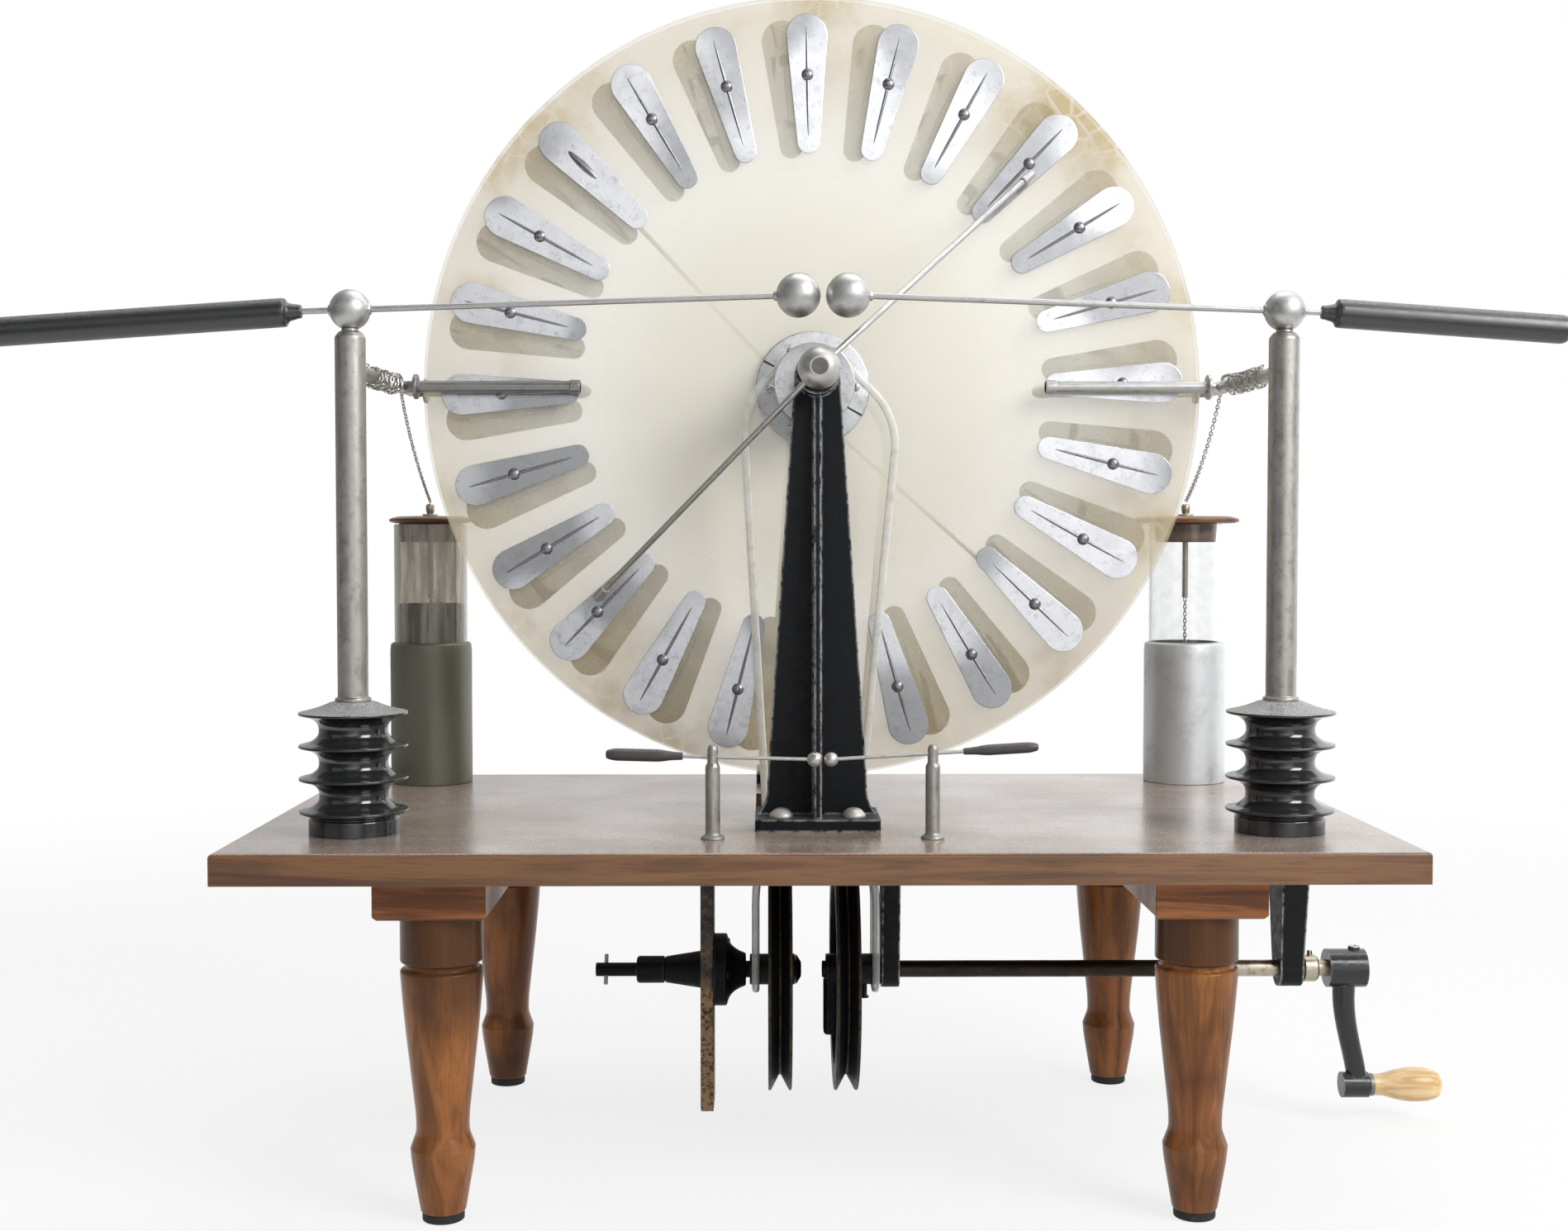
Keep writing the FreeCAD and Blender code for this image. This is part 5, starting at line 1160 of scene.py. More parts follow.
@dataclass
class Neutraliser:
    """A ball on the axle's end, its slanting rods and the tinsel brushes that sweep a disc."""
    face: Face
    ball_y: float = 186.0
    ball_radius: float = 14.7
    rod: float = 2.2
    reach: float = 230.0
    reach_y: float = 27.0
    angle: float = 44.2
    axle_z: float = 576.6
    strands: int = 14
    flat: float = 13.1

    def knob(self) -> bmesh.types.BMesh:
        """The ball, cut flat where the axle's end shows.

        Returns:
            The ball round the origin, its flat towards -Y.
        """
        knob = ball(self.ball_radius)
        whole = knob.verts[:] + knob.edges[:] + knob.faces[:]
        cut = bmesh.ops.bisect_plane(knob, geom=whole, plane_co=(0, -self.flat, 0),
                                     plane_no=(0, -1, 0), clear_outer=True)
        rim = [edge for edge in cut["geom_cut"] if isinstance(edge, bmesh.types.BMEdge)]
        bmesh.ops.edgeloop_fill(knob, edges=rim)
        bmesh.ops.recalc_face_normals(knob, faces=knob.faces)
        return knob

    def build(self) -> None:
        """Build the ball with its rods, and the brushes."""
        name = f"{self.face.name.lower()}_neutraliser"
        body = f"{name}_rod"
        turn = Matrix.Rotation(0 if self.face is Face.FRONT else math.pi, 4, "Z")
        middle = Vector((0, -self.ball_y, self.axle_z))
        form = Form()
        form.add(self.knob(), Matrix.Translation(middle))
        plug = Form((lathe([(0, 12.6), (6.2, 12.6), (6.2, 12.95, 0.1), (5.6, 13.15, 0.1),
                            (0, 13.15)], 40),
                     Matrix.Translation(middle) @ Matrix.Rotation(math.pi / 2, 4, "X")))
        tinsel = Form()
        for way in (1, -1):
            lean = math.radians(self.angle)
            tip = Vector((way * self.reach * math.cos(lean), -self.reach_y,
                          self.axle_z + way * self.reach * math.sin(lean)))
            form.rod(middle, tip, self.rod)
            back = (middle - tip).normalized()
            form.rod(tip + back * 11, tip - back * 2.2, 3.4, round_off=0.5)
            form.add(ball(3.5, 32), Matrix.Translation(tip))
            for number in range(self.strands):
                spread = math.tau * number / self.strands
                out = Vector((math.cos(spread), 0, math.sin(spread)))
                bow = 2.2 + 1.6 * ((number * 7) % 5) / 4
                waist = tip + Vector((0, 8.5, 0)) + out * (1.1 + bow * 0.35)
                end = tip + Vector((0, 14.4 + (number * 3) % 4 * 0.2, 0)) + out * bow
                tinsel.rod(tip + out * 0.8, waist, 0.28, 0.24, 0.05, 6)
                tinsel.rod(waist, end, 0.24, 0.14, 0.05, 6)
        for piece in (form, tinsel, plug):
            bmesh.ops.transform(piece.mesh, matrix=turn, verts=piece.mesh.verts)
        plug.finish(f"{name}_plug", PLUG, body, "steel")
        form.finish(f"{name}_bar", NICKEL, body, "nickel", name)
        tinsel.finish(f"{name}_tinsel", SCREW, body, "nickel")


@dataclass
class Discharger:
    """An insulated post with a swivelling terminal, a sliding rod, its gap ball and handle."""
    side: Side
    gap_x: float
    grip_start: float
    grip_end: float
    post_x: float = 323.0
    post_y: float = -164.0
    board_top: float = 256.0
    post_low: float = 347.6
    post_high: float = 604.8
    terminal_z: float = 618.0
    gap_z: float = 628.5
    knob_radius: float = 14.1
    gap_radius: float = 15.5
    rod: float = 2.15
    core: float = 23.6
    fin: float = 37.4
    fins: int = 4
    fin_low: float = 15.7
    fin_pitch: float = 22.6

    @property
    def name(self) -> str:
        """The side, as the nodes are named."""
        return self.side.name.lower()

    def build(self) -> None:
        """Build the insulator, post, terminal, rod and handle."""
        self.insulator()
        self.post()
        self.terminal()

    def insulator(self) -> None:
        """Sharp fins with hollow flanks on a core, over a plain base."""
        core, fin = self.core, self.fin
        outline: list[Corner] = [(0, 0), (31, 0, 0.4), (31, 10.4, 0.8), (29.6, 12, 0.8)]
        for number in range(self.fins):
            middle = self.fin_low + self.fin_pitch * number
            if number:
                outline += [(core, middle - 8, 2.6), (27.6, middle - 3.3, 4.2)]
            outline += [(fin, middle - 0.8, 0.5), (fin, middle + 0.8, 0.5)]
            if number < self.fins - 1:
                outline += [(27.6, middle + 3.3, 4.2), (core, middle + 8, 2.6)]
        outline += [(25, 87.2, 6), (15.6, 91.2, 0.8), (14, 91.6, 0.3), (0, 91.6)]
        form = Form((lathe(outline, 96),
                     at(self.side.value * self.post_x, self.post_y, self.board_top)))
        form.finish(f"{self.name}_finned_insulator", EBONITE, "stand", "ebonite",
                    f"{self.name}_insulator", smooth=55)

    def post(self) -> None:
        """A drawn metal post with a chamfered shoulder and a neck under the ball."""
        rise = self.post_high - self.post_low
        shape = lathe([(0, 0), (12.4, 0, 0.4), (12.4, 2.2, 0.6), (10.5, 3.2, 0.4),
                       (10.5, rise - 5.6, 1.2), (7.6, rise - 1.8, 1.2), (5.8, rise - 1.4, 0.3),
                       (5.8, rise, 0.2), (0, rise)], 64)
        form = Form((shape, at(self.side.value * self.post_x, self.post_y, self.post_low)))
        form.finish(f"{self.name}_drawn_post", POST, "stand", "post_metal", f"{self.name}_post")

    def terminal(self) -> None:
        """The terminal ball, the rod through it, the gap ball and the handle."""
        sign = self.side.value
        middle = Vector((sign * self.post_x, self.post_y, self.terminal_z))
        gap = Vector((sign * self.gap_x, self.post_y, self.gap_z))
        lean = (self.gap_z - self.terminal_z) / (self.post_x - self.gap_x)
        start = Vector((sign * self.grip_start, self.post_y,
                        self.terminal_z - lean * (self.grip_start - self.post_x)))
        outward = (start - gap).normalized()
        knob = Form((ball(self.knob_radius), Matrix.Translation(middle)))
        for way in (-1, 1):
            lip = lathe([(2.2, 13.2), (4.2, 13.3, 0.2), (3.6, 14.6, 0.4), (2.2, 14.9, 0.2)], 32)
            knob.add(lip, along(middle, middle + outward * way))
        knob.finish(f"{self.name}_terminal_knob", NICKEL, f"{self.name}_terminal", "nickel",
                    f"{self.name}_terminal_ball")
        bar = Form((ball(self.gap_radius), Matrix.Translation(gap)))
        bar.rod(gap, start + outward * 9.7, self.rod)
        bar.add(lathe([(0, 14.6), (3.6, 14.9, 0.3), (3.1, 17.2, 0.7), (0, 17.2)], 32),
                along(gap, start))
        body = f"{self.name}_discharger"
        bar.finish(f"{self.name}_gap_rod", NICKEL, body, "nickel",
                   f"{self.name}_discharge_rod")
        droop = math.radians(2) + math.atan(lean)
        away = Vector((sign * math.cos(droop), 0, -math.sin(droop)))
        length = self.grip_end - self.grip_start
        shape = lathe([(2.3, 0), (4.6, 0, 0.6), (5, 3, 0.5), (6.3, 8.6, 0.8), (8.2, 10.2, 0.8),
                       (9.7, 10.8, 0.6), (10, 13, 0.8), (10, length - 2.4, 2.2),
                       (8.6, length, 1), (7.6, length, 0.3), (6.9, length - 1, 0.3),
                       (0, length - 1)], 64)
        grip = Form((shape, along(start, start + away)))
        grip.finish(f"{self.name}_turned_handle", HANDLE, body, "ebonite",
                    f"{self.name}_handle")


@dataclass
class Jar:
    """A Leyden jar: glass, outer foil, lid and stopper, rod with a hanging chain, lining."""
    side: Side
    lid: float
    jar_x: float = 318.0
    jar_y: float = 121.0
    board_top: float = 256.0
    top: float = 473.0
    radius: float = 30.2
    wall: float = 2.0
    foil_height: float = 118.0
    left_lining: float = 150.0
    bar: float = 2.45
    bar_low: float = 411.0

    @property
    def stance(self) -> Matrix:
        """Where the jar stands."""
        return at(self.side.value * self.jar_x, self.jar_y, 0)

    def build(self) -> tuple[Form, Form, Form]:
        """Build the glass and lid.

        Returns:
            The foil, the rod and the lining, which are finished with the other jar's.
        """
        name = self.side.name.lower()
        low, high, r, wall = self.board_top, self.top, self.radius, self.wall
        glass = lathe([(0, low), (r, low, 2), (r, high - 0.2, 0.8), (r - wall, high - 0.2, 0.8),
                       (r - wall, low + 3, 3), (0, low + wall)], 96)
        finish = OLD_GLASS if self.side is Side.LEFT else GLASS
        Form((glass, self.stance)).finish(f"{name}_glass_wall", finish, "stand", "jar_glass",
                                          f"{name}_jar_glass")
        lid = self.lid
        cover = lathe([(2.5, high - 15.2), (24.8, high - 15.2, 1), (26, high - 1),
                       (26, high + 0.6), (lid - 4, high + 0.8, 1), (lid, high + 2, 0.8),
                       (lid, high + 4.2, 1), (lid - 6, high + 6.4, 3),
                       (2.5, high + 7)], 96)
        Form((cover, self.stance)).finish(f"{name}_turned_lid", LID, "stand", "lid_wood",
                                          f"{name}_jar_lid")
        foil = lathe([(30.4, low), (33.7, low, 0.8), (33.9, low + 20, 8), (33.7, low + 60, 12),
                      (33.9, low + 112, 4), (33.2, low + 116.6, 1.4),
                      (31.2, low + self.foil_height, 0.8), (30.4, low + self.foil_height)], 96)
        rod = Form((lathe([(0, self.bar_low), (self.bar, self.bar_low, 0.5), (self.bar, 481),
                           (4.2, 485.8, 3), (3, 490, 1.6), (0, 490)], 40), self.stance))
        rod.add(lathe([(2.5, high + 6.4), (6.5, high + 6.4), (6.5, high + 8.4, 0.5),
                       (2.5, high + 8.4)], 32), self.stance)
        height = self.left_lining if self.side is Side.LEFT else self.foil_height
        lining = lathe([(27.5, low + 2), (28, low + 2), (28, low + height),
                        (27.5, low + height)], 72)
        return Form((foil, self.stance)), rod, Form((lining, self.stance))


@dataclass
class Chain:
    """A fine link chain along a smooth line."""
    pitch: float = 3.1
    wire: float = 0.46
    width: float = 1.25

    def link(self) -> bmesh.types.BMesh:
        """One oval link, its long way along Z.

        Returns:
            The link, middle at the origin.
        """
        shape = bmesh.new()
        bmesh.ops.create_circle(shape, segments=5, radius=self.wire,
                                matrix=at(self.width, 0, 0) @ Matrix.Rotation(math.pi / 2, 4, "X"))
        bmesh.ops.spin(shape, geom=shape.verts[:] + shape.edges[:], cent=(0, 0, 0),
                       axis=(0, 0, 1), dvec=(0, 0, 0), angle=math.tau, steps=10,
                       use_merge=True, use_duplicate=False)
        bmesh.ops.remove_doubles(shape, verts=shape.verts, dist=1e-4)
        stretch = self.pitch * 0.5
        for vert in shape.verts:
            vert.co.y += math.copysign(stretch * 0.55, vert.co.y)
        bmesh.ops.rotate(shape, verts=shape.verts, cent=(0, 0, 0),
                         matrix=Matrix.Rotation(math.pi / 2, 3, "X"))
        bmesh.ops.recalc_face_normals(shape, faces=shape.faces)
        return shape

    def along_line(self, line: Sequence[Vector]) -> Form:
        """Thread links along a line.

        Args:
            line: Points close together.

        Returns:
            The chain.
        """
        form, link = Form(), self.link()
        travelled, due, number = 0.0, self.pitch / 2, 0
        for start, end in zip(line, line[1:]):
            step = (end - start).length
            while step and travelled + step >= due:
                spot = start.lerp(end, (due - travelled) / step)
                turn = Matrix.Rotation(math.pi / 2 * number + 0.5, 4, "Z")
                form.add(link, along(spot, spot + end - start) @ turn, keep=True)
                number, due = number + 1, due + self.pitch
            travelled += step
        link.free()
        return form


@dataclass
class Collector:
    """A comb round the discs' rim, held by an arm from its post, and its chain to the jar."""
    side: Side
    post_x: float = 323.0
    post_y: float = 164.0
    outer_x: float = 314.0
    inner_x: float = 178.0
    tube: float = 4.5
    comb_y: float = 22.0
    bend: float = 9.0
    axle_z: float = 576.6
    turns: int = 5
    corners: int = 6
    pitch: float = 15.0
    clear: float = 6.8

    @property
    def name(self) -> str:
        """The side, as the nodes are named."""
        return self.side.name.lower()

    def build(self) -> None:
        """Build the fork with its ferrules, and the chain."""
        sign = self.side.value
        inner, outer = sign * self.inner_x, sign * self.outer_x
        line = self.fork_line(inner, outer)
        form = Form()
        for start, end in zip(line, line[1:]):
            form.rod(start, end, self.tube, round_off=0.02, steps=24)
            form.add(ball(self.tube - 0.01, 24), Matrix.Translation(end))
        height = self.axle_z
        form.rod((sign * self.post_x, 2.5 - self.post_y, height),
                 (outer, self.bend - self.comb_y, height), 5, round_off=0.1)
        for y in (-self.comb_y, self.comb_y):
            edge = outer - sign * self.bend
            form.rod((inner, y, height), (inner + sign * 8, y, height), 5.4, round_off=0.8)
            form.rod((edge, y, height), (edge - sign * 3.2, y, height), 9.6, round_off=1)
        form.rod((sign * (self.post_x - 0.5), 10.2 - self.post_y, height),
                 (sign * (self.post_x - 0.8), 15.6 - self.post_y, height), 7.4, round_off=0.8)
        finish = COMB_DARK if self.side is Side.LEFT else NICKEL
        form.finish(f"{self.name}_comb_tubes", finish, "stand", "nickel", f"{self.name}_comb")
        self.chain()

    def fork_line(self, inner: float, outer: float) -> list[Vector]:
        """The fork's middle line from its front tip round to its rear tip.

        Args:
            inner: X of its two tips.
            outer: X of its back.

        Returns:
            Points along the line.
        """
        sign, bend, y, z = self.side.value, self.bend, self.comb_y, self.axle_z
        line = [Vector((inner, -y, z))]
        for centre_y, first in ((bend - y, -90), (y - bend, 0)):
            for step in range(7):
                angle = math.radians(first + 15 * step)
                line.append(Vector((outer - sign * bend + sign * bend * math.cos(angle),
                                    centre_y + bend * math.sin(angle), z)))
        return line + [Vector((inner, y, z))]

    def chain(self) -> None:
        """The chain wound loosely round the arm, then hanging to the jar's knob."""
        sign = self.side.value
        start = Vector((sign * self.post_x, -self.post_y, self.axle_z))
        end = Vector((sign * self.outer_x, self.bend - self.comb_y, self.axle_z))
        ahead = (end - start).normalized()
        across = ahead.cross(Vector((0, 0, 1))).normalized()
        reach = self.clear / math.cos(math.pi / self.corners)
        points = []
        for step in range(self.turns * self.corners + 1):
            angle = math.pi / 2 + math.tau * step / self.corners
            travel = self.post_y - 118 + self.pitch * step / self.corners
            points.append(start + ahead * travel + across * math.cos(angle) * reach
                          + Vector((0, 0, math.sin(angle) * reach)))
        drop = ((2, -24, 8.8), (4, -6, 8.6), (7.5, 10, 6), (9, 26, -7), (6, 46, -38),
                (3, 82, -70))
        points += [Vector((sign * (self.outer_x + out), y, self.axle_z + up))
                   for out, y, up in drop]
        points.append(Vector((sign * 318, 121, 491.9)))
        line = smooth_line([TO_FRAME @ point for point in points])
        route = [TO_FRAME.inverted() @ point for point in line]
        length = sum((b - a).length for a, b in zip(line, line[1:]))
        chain = Chain().along_line(route)
        piece = chain.finish(f"{self.name}_link_chain", CHAIN, "stand", "nickel",
                             f"{self.name}_jar_lead")
        LOG.info("%s chain: %.3f m", self.name, length)


def smooth_line(points: Sequence[Vector]) -> list[Vector]:
    """Points along a smooth spline through a route.

    Args:
        points: The route's own points.

    Returns:
        Points close together on the spline.
    """
    curve = bpy.data.curves.new("route", "CURVE")
    curve.dimensions = "3D"
    curve.resolution_u = 12
    spline = curve.splines.new("NURBS")
    spline.points.add(len(points) - 1)
    for knot, point in zip(spline.points, points):
        knot.co = (*point, 1)
    spline.order_u = 3
    spline.use_endpoint_u = True
    holder = bpy.data.objects.new("route", curve)
    mesh = bpy.data.meshes.new_from_object(holder)
    line = [vert.co.copy() for vert in mesh.vertices]
    bpy.data.objects.remove(holder)
    bpy.data.curves.remove(curve)
    bpy.data.meshes.remove(mesh)
    return line


@dataclass
class GaugeArm:
    """One side of the small spark gauge: post, sliding rod with its ball, and handle."""
    side: Side
    post_x: float
    ball_x: float
    ball_radius: float
    slope: float
    grip_start: float
    grip_end: float
    grip_radius: float
    y: float = -196.0
    ball_z: float = 310.3
    board_top: float = 256.0

    def build(self) -> None:
        """Build the post, the rod and the handle."""
        name, sign = self.side.name.lower(), self.side.value
        low = self.board_top
        post = lathe([(0, low), (8, low, 0.3), (8, low + 1.6, 0.6), (5.6, low + 3, 0.6),
                      (5, low + 4, 0.4), (5, low + 49.6, 0.6), (4, low + 51.6, 0.4),
                      (3.6, low + 52, 0.2), (3.6, low + 62.2, 1.2), (2, low + 64.4, 0.6),
                      (0, low + 64.4)], 48)
        Form((post, at(sign * self.post_x, self.y, 0))).finish(
            f"{name}_gauge_pillar", POST, "stand", "post_metal", f"{name}_gauge_post")
        lean = math.tan(math.radians(self.slope))
        start = Vector((self.ball_x, self.y, self.ball_z))
        butt = Vector((sign * self.grip_start, self.y,
                       self.ball_z + lean * (self.grip_start - sign * self.ball_x)))
        outward = (butt - start).normalized()
        bar = Form((ball(self.ball_radius, 48), Matrix.Translation(start)))
        bar.rod(start, butt + outward * 12, 1.3, steps=24)
        body = f"{name}_gauge_slide"
        bar.finish(f"{name}_gauge_bar", NICKEL, body, "nickel", f"{name}_gauge_rod")
        length, r = self.grip_end - self.grip_start, self.grip_radius
        shape = lathe([(1.35, 0), (r * 0.6, 0, 0.4), (r * 0.72, length * 0.16, 3),
                       (r, length * 0.3, 3), (r, length * 0.9, 3), (r * 0.62, length, 1.2),
                       (0, length)], 40)
        Form((shape, along(butt, butt + outward))).finish(
            f"{name}_gauge_grip", GAUGE_HANDLE, body, "gauge_ebonite", f"{name}_gauge_handle")


@dataclass
class Drive:
    """Everything under the board: wheels, shafts, hangers, strap, crank and belt."""
    shaft_z: float = 122.7
    wheel: float = 92.5
    wheel_x: float = 25.5
    throw: float = 93.0
    shaft: float = 6.5
    bright_from: float = 290.0
    collar_x: float = 392.0
    screw_x: float = 41.2
    plate_x: float = 82.0
    grip_x: float = 439.3

    def lay(self, start_x: float, outward: int = 1) -> Matrix:
        """Lay a lathe piece along the shaft from start_x, pointing outward along X."""
        turn = Matrix.Rotation(outward * math.pi / 2, 4, "Y")
        return at(start_x, 0, self.shaft_z) @ turn

    def build(self) -> None:
        """Build the whole drive."""
        dress("drive_belt", TUBE)
        for hanger in ("outer_hanger", "inner_hanger"):
            refine(hanger, IRON, "stand", "black_iron", 0.8)
        refine("idler_plate", STRAP, "stand", "strap_iron", 0.9)
        self.wheels()
        self.shafts()
        self.bearing()
        self.crank()

    def wheel_shape(self, near: float, far: float) -> bmesh.types.BMesh:
        """A grooved wheel from its hub's near end to its far end.

        Args:
            near: Where the hub starts along the shaft.
            far: Where it ends.

        Returns:
            The wheel round Z, its web at 0.
        """
        rim, web, half = self.wheel, 3.0, 9.0
        inside = rim - 19
        return lathe([
            (SHAFT_BORE, near), (12, near, 0.8), (12, -web, 2), (inside, -web, 3),
            (inside, -half, 0.6), (rim, -half, 0.7), (rim, -half + 2, 0.5), (rim - 12, -0.6, 2.4),
            (rim - 12, 0.6, 2.4), (rim, half - 2, 0.5), (rim, half, 0.7), (inside, half, 0.6),
            (inside, web, 3), (12, web, 2), (12, far, 0.8), (SHAFT_BORE, far),
        ], 128)

    def wheels(self) -> None:
        """The driving wheel with its set screw and dog arm, and the second wheel."""
        x = self.wheel_x
        form = Form((self.wheel_shape(10.6 - x, 53.5 - x), self.lay(x)))
        z = self.shaft_z
        screw = self.screw_x
        form.rod((screw, 0, z - 12), (screw, 0, z - 21), 2)
        form.rod((screw, 0, z - 21), (screw, 0, z - 22.7), 3.4, round_off=0.4)
        form.add(block((12, 16, 45), 3), at(14.8, 0, z - 28.5))
        form.finish("driving_wheel", WHEEL_IRON, "crank", "black_iron", "crank_wheel")
        other = Form((self.wheel_shape(13.5 - x, 49 - x), self.lay(-x, -1)))
        other.finish("second_wheel", WHEEL_IRON, "idler", "black_iron", "idler_wheel")

    def shafts(self) -> None:
        """Both shafts, the collar and the cross pin."""
        shaft, joint = self.shaft, self.bright_from
        bar = lathe([(0, 7.6), (shaft, 7.6, 0.6), (shaft, joint), (0, joint)], 48)
        Form((bar, self.lay(0))).finish("turned_shaft", DARK_SHAFT, "crank", "steel",
                                        "crank_shaft")
        end = lathe([(0, joint), (shaft, joint), (shaft, 435, 0.8), (0, 435)], 48)
        Form((end, self.lay(0))).finish("bright_shaft_end", SHAFT, "crank", "steel")
        collar = Form((lathe([(SHAFT_BORE, -5.5), (10.5, -5.5, 0.5), (10.5, 4, 0.4),
                              (9.2, 5.5, 0.4), (SHAFT_BORE, 5.5)], 48), self.lay(self.collar_x)))
        x, z = self.collar_x, self.shaft_z
        collar.rod((x, 0, z + 6.6), (x, 0, z + 13.9), 2, round_off=0.3)
        collar.finish("collar_ring", SHAFT, "crank", "steel", "shaft_collar")
        idler = lathe([(0, 8.7), (5.6, 8.7, 0.8), (11.3, 12.3, 0.5), (11.3, 13.2, 0.3),
                       (shaft, 13.2), (shaft, 115.9), (10.5, 115.9, 0.6), (10.5, 136, 0.8),
                       (9, 137.5, 0.4), (5.3, 137.5), (5.3, 169.7, 0.7), (0, 169.7)], 48)
        form = Form((idler, self.lay(0, -1)))
        form.finish("second_shaft", DULL_IRON, "idler", "black_iron", "idler_shaft")
        lean = math.radians(65)
        across = Vector((0, math.cos(lean), math.sin(lean))) * 12
        middle = Vector((-161.7, 0, z))
        pin = Form().rod(middle - across, middle + across, 1.6, round_off=0.4)
        pin.finish("cross_pin", BOLT, "idler", "black_iron")

    def bearing(self) -> None:
        """The flanged, bell-shaped bearing through the strap."""
        plate = self.plate_x
        shape = lathe([
            (SHAFT_BORE, plate - 115.6), (9.4, plate - 115.6, 0.6),
            (10.2, plate - 114.4, 0.5), (14.5, -5, 0.4), (14.5, 5), (28, 5, 0.6), (28, 15, 1.2),
            (20.5, 17.2, 3), (15.2, 23, 4), (13, 29, 0.5), (12, 30, 0.4), (SHAFT_BORE, 30),
        ], 72)
        form = Form((shape, self.lay(-plate)))
        for number in range(3):
            angle = math.tau * number / 3 + 0.5
            y, rise = 22.5 * math.cos(angle), 22.5 * math.sin(angle)
            head = lathe([(0, 15), (3.2, 15), (3.2, 16.6, 0.4), (2, 17.4, 0.4), (0, 17.4)], 6)
            form.add(head, self.lay(-plate) @ at(y, rise, 0))
        form.finish("bell_bearing", DULL_IRON, "stand", "black_iron", "idler_bearing")

    def crank(self) -> None:
        """The S-shaped crank with its socket screw, and the turned grip."""
        refine("crank_arm", SLICK_IRON, "crank", "black_iron", 0.8, 40, 3)
        x, z = 427.0, self.shaft_z + 17
        ring = Form((lathe([(1.9, 0.2), (4.6, 0.2), (4.6, 1.2, 0.4), (1.9, 1.2, 0.3)], 32),
                     at(x, 0, z - 0.6)))
        ring.finish("socket_rim", BOLT, "crank", "black_iron")
        wood = lathe([
            (4.05, 0), (7.8, 0, 0.6), (8.4, 1.4, 0.5), (8.5, 5, 1), (8.2, 9.5, 3),
            (12.4, 24, 7), (13.5, 36, 6), (12.6, 49, 5), (9, 56.2, 3), (4, 57, 1), (0, 57),
        ], 72)
        move = at(self.grip_x, 0, self.shaft_z - self.throw) @ Matrix.Rotation(math.pi / 2, 4, "Y")
        Form((wood, move)).finish("turned_grip", GRIP, "grip", "grip_wood", "crank_grip")
        ferrule = lathe([(8, 0.4), (8.75, 0.4, 0.2), (8.75, 3.4, 0.3), (8, 3.4)], 64)
        Form((ferrule, move)).finish("grip_ferrule", SCREW, "grip", "grip_wood")


# --- The room --------------------------------------------------------------------------------

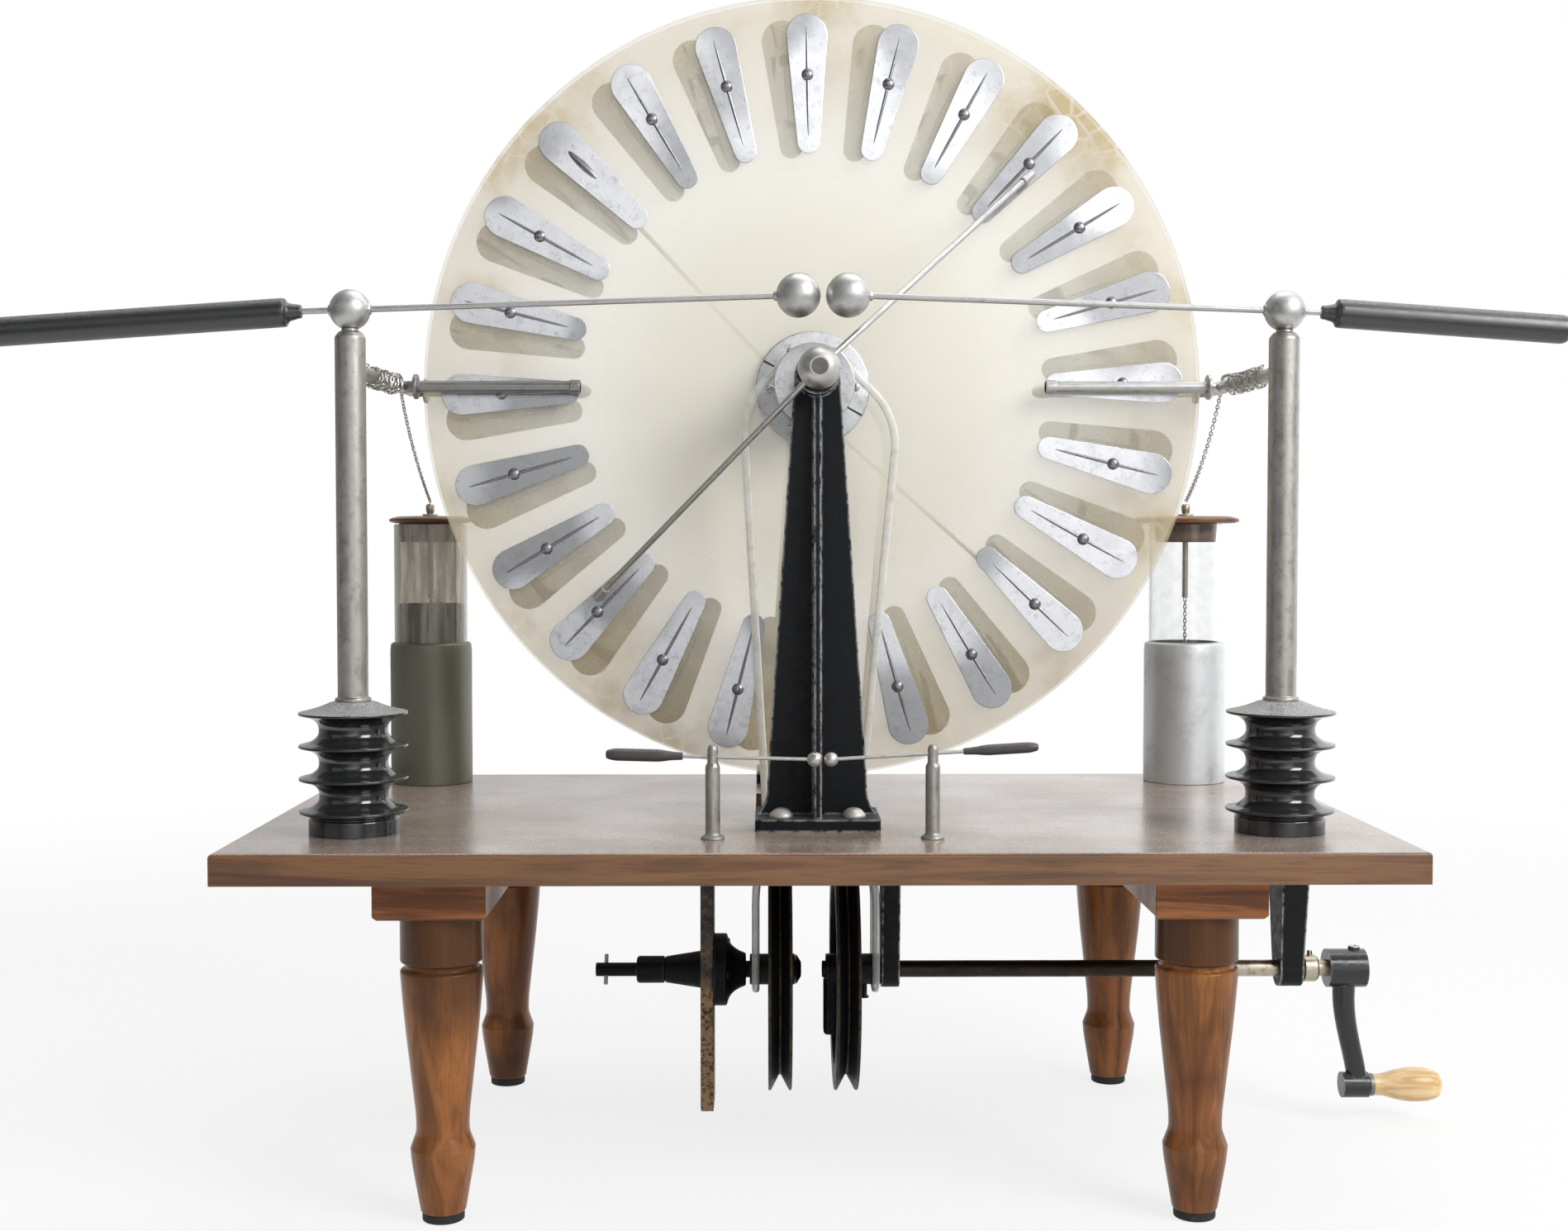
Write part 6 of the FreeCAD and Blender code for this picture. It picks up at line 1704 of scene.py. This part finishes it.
@dataclass
class Room:
    """The pale floor, the soft lamps, the sky and the camera."""
    camera: Corner = (-0.01302, -1.46855, 0.45877)
    lens: float = 44.08
    yaw: float = -0.592
    pitch: float = 87.78
    aim: Corner = (0.02, 0, 0.45)
    soft_light: float = 0.45
    floor_white: float = 0.8

    def build(self) -> None:
        """Build the room."""
        scene = bpy.context.scene
        scene.view_settings.view_transform = "Standard"
        self.floor()
        self.sky()
        self.lamp("key", (1.7, -1.5, 1.7), 1.3, 52)
        self.lamp("fill", (-1.9, -1.6, 1.2), 1.6, 3)
        self.lamp("top", (0.3, 0.4, 2.4), 1.6, 14)
        camera = bpy.data.objects.new("camera", bpy.data.cameras.new("camera"))
        camera.data.sensor_width, camera.data.lens = 36, self.lens
        camera.location = self.camera
        camera.rotation_euler = (math.radians(self.pitch), 0, math.radians(self.yaw))
        scene.collection.objects.link(camera)
        scene.camera = camera

    def lamp(self, name: str, place: Corner, size: float, power: float) -> None:
        """Hang a soft square lamp that looks at the machine.

        Args:
            name: Its name.
            place: Where it hangs, in metres.
            size: Its side.
            power: Its watts.
        """
        light = bpy.data.lights.new(name, "AREA")
        light.shape, light.size, light.energy = "SQUARE", size, power
        lamp = bpy.data.objects.new(name, light)
        lamp.location = place
        way = Vector(self.aim) - Vector(place)
        lamp.rotation_euler = way.to_track_quat("-Z", "Y").to_euler()
        bpy.context.scene.collection.objects.link(lamp)

    def floor(self) -> None:
        """A pale floor that keeps the machine's shadow and fades out far away."""
        shape = bmesh.new()
        bmesh.ops.create_grid(shape, x_segments=1, y_segments=1, size=6)
        mesh = bpy.data.meshes.new("floor")
        shape.to_mesh(mesh)
        shape.free()
        plane = bpy.data.objects.new("floor", mesh)
        plane.location.z = -0.0005
        bpy.context.scene.collection.objects.link(plane)
        mesh.materials.append(self.floor_material())

    def floor_material(self) -> bpy.types.Material:
        """White where it is seen, with the machine's shadow, and clear far away.

        Returns:
            The floor's material.
        """
        recipe = Recipe("pale_floor")
        recipe.set(Base_Color=(0.9, 0.9, 0.9), Roughness=0.9, Specular_IOR_Level=0.1)
        path = recipe.add("ShaderNodeLightPath")
        seen = recipe.sum("MAXIMUM", path.outputs["Is Camera Ray"], path.outputs["Is Glossy Ray"])
        seen = recipe.sum("MAXIMUM", seen, path.outputs["Is Transmission Ray"])
        glow = recipe.add("ShaderNodeEmission")
        recipe.feed(glow, "Strength", 1.0)
        mix = recipe.add("ShaderNodeMixShader")
        recipe.feed(mix, 0, recipe.sum("MULTIPLY", seen, self.floor_white))
        recipe.feed(mix, 1, recipe.shader.outputs[0])
        recipe.feed(mix, 2, glow.outputs[0])
        away = recipe.add("ShaderNodeVectorMath", operation="LENGTH")
        recipe.feed(away, 0, recipe.place)
        fade = recipe.add("ShaderNodeMixShader")
        recipe.feed(fade, 0, recipe.ramp(away.outputs["Value"], 0.9, 2.2))
        recipe.feed(fade, 1, mix.outputs[0])
        recipe.feed(fade, 2, recipe.add("ShaderNodeBsdfTransparent").outputs[0])
        out = recipe.tree.nodes["Material Output"]
        recipe.feed(out, "Surface", fade.outputs[0])
        return recipe.material

    def sky(self) -> None:
        """White where it is seen, a soft room for what lights and mirrors."""
        world = bpy.data.worlds.new("room")
        world.use_nodes = True
        bpy.context.scene.world = world
        tree = world.node_tree
        shade = tree.nodes["Background"]
        path = tree.nodes.new("ShaderNodeLightPath")
        spot = tree.nodes.new("ShaderNodeTexCoord")
        axes = tree.nodes.new("ShaderNodeSeparateXYZ")
        tree.links.new(spot.outputs["Generated"], axes.inputs[0])
        facing = self.spread(tree, axes.outputs["Y"], -0.97, -0.8, 1.0, 0.0)
        side = self.add_up(tree, "MULTIPLY", axes.outputs["X"], 1.3)
        rise = self.add_up(tree, "MULTIPLY", axes.outputs["Z"], 2.7)
        umbrella = self.add_up(tree, "ADD", self.add_up(tree, "ADD", side, rise), 0.9)
        umbrella = self.add_up(tree, "MULTIPLY", facing, umbrella)
        behind = self.spread(tree, axes.outputs["Y"], -0.25, 0.25, 0.24, 1.0)
        behind = self.add_up(tree, "MAXIMUM", behind, umbrella)
        above = self.spread(tree, axes.outputs["Z"], -0.2, 0.9, 0.0, 0.45)
        mirrored = self.add_up(tree, "MAXIMUM", behind, above)
        window = self.spread(tree, axes.outputs["X"], -0.6, 0.6, 0.4, 1.5)
        mirrored = self.add_up(tree, "MULTIPLY", mirrored, window)
        seen = self.add_up(tree, "MAXIMUM", path.outputs["Is Glossy Ray"],
                           path.outputs["Is Transmission Ray"])
        lit = tree.nodes.new("ShaderNodeMix")
        lit.inputs[2].default_value = self.soft_light
        tree.links.new(seen, lit.inputs[0])
        tree.links.new(mirrored, lit.inputs[3])
        last = tree.nodes.new("ShaderNodeMix")
        last.inputs[3].default_value = 1.0
        tree.links.new(path.outputs["Is Camera Ray"], last.inputs[0])
        tree.links.new(lit.outputs[0], last.inputs[2])
        tree.links.new(last.outputs[0], shade.inputs["Strength"])
        shade.inputs["Color"].default_value = (1, 1, 1, 1)

    def spread(self, tree: bpy.types.NodeTree, value: bpy.types.NodeSocket, low: float,
               high: float, first: float, last: float) -> bpy.types.NodeSocket:
        """Spread a value from low to high over first to last.

        Args:
            tree: The world's nodes.
            value: The value.
            low: Its lower end.
            high: Its upper end.
            first: What the lower end becomes.
            last: What the upper end becomes.

        Returns:
            The spread value.
        """
        node = tree.nodes.new("ShaderNodeMapRange")
        tree.links.new(value, node.inputs["Value"])
        for name, number in (("From Min", low), ("From Max", high), ("To Min", first),
                             ("To Max", last)):
            node.inputs[name].default_value = number
        return node.outputs[0]

    def add_up(self, tree: bpy.types.NodeTree, kind: str, first: bpy.types.NodeSocket,
               second: object) -> bpy.types.NodeSocket:
        """Work out a sum of a socket and another socket or a number.

        Args:
            tree: The world's nodes.
            kind: The sum's name in the editor.
            first: A socket.
            second: A socket or a number.

        Returns:
            The result.
        """
        node = tree.nodes.new("ShaderNodeMath")
        node.operation = kind
        tree.links.new(first, node.inputs[0])
        if isinstance(second, bpy.types.NodeSocket):
            tree.links.new(second, node.inputs[1])
        else:
            node.inputs[1].default_value = second
        return node.outputs[0]


def build_jars() -> None:
    """Both jars; the rods and linings of the two are one piece each."""
    jars = (Jar(Side.LEFT, 34), Jar(Side.RIGHT, 44))
    rods, linings, chains = Form(), Form(), Form()
    for jar in jars:
        foil, rod, lining = jar.build()
        rods.add(rod.mesh)
        linings.add(lining.mesh)
        # The left jar's foil is the darker copy: painted shade.
        if jar.side is Side.LEFT:
            foil.finish("left_jar_foil", SHADED_FOIL, "stand", "foil", "jar_coatings")
        else:
            foil.finish("right_jar_foil", FOIL, "stand", "foil")
        x = jar.side.value * jar.jar_x
        line = [Vector((x, jar.jar_y, jar.bar_low)), Vector((x, jar.jar_y, jar.board_top + 4))]
        chains.add(Chain(3.0, 0.5, 1.2).along_line(line).mesh)
    rods.finish("jar_bars", SHAFT, "stand", "steel", "jar_rods")
    chains.finish("jar_hanging_chains", CHAIN, "stand", "steel")
    linings.finish("jar_inner_foils", LINING, "stand", "lining", "jar_linings")


def main() -> None:
    """Build the room and then the machine, assembly by assembly."""
    logging.basicConfig(level=logging.INFO, format="%(name)s %(message)s")
    Room().build()
    Stand().build()
    Rotor(Face.FRONT, 1).build()
    Rotor(Face.REAR, -5).build()
    for face in Face:
        Neutraliser(face).build()
    Discharger(Side.LEFT, 13.9, 356.3, 569.2).build()
    Discharger(Side.RIGHT, 20.6, 348.6, 520).build()
    for side in Side:
        Collector(side).build()
    dress("comb_points", NICKEL)
    build_jars()
    GaugeArm(Side.LEFT, 72.7, -3.1, 5.4, 1.5, 93, 145.2, 4.25).build()
    GaugeArm(Side.RIGHT, 77.3, 7.8, 5.0, 3.4, 98.1, 149.2, 3.7).build()
    Drive().build()


if __name__ == "__main__":
    main()
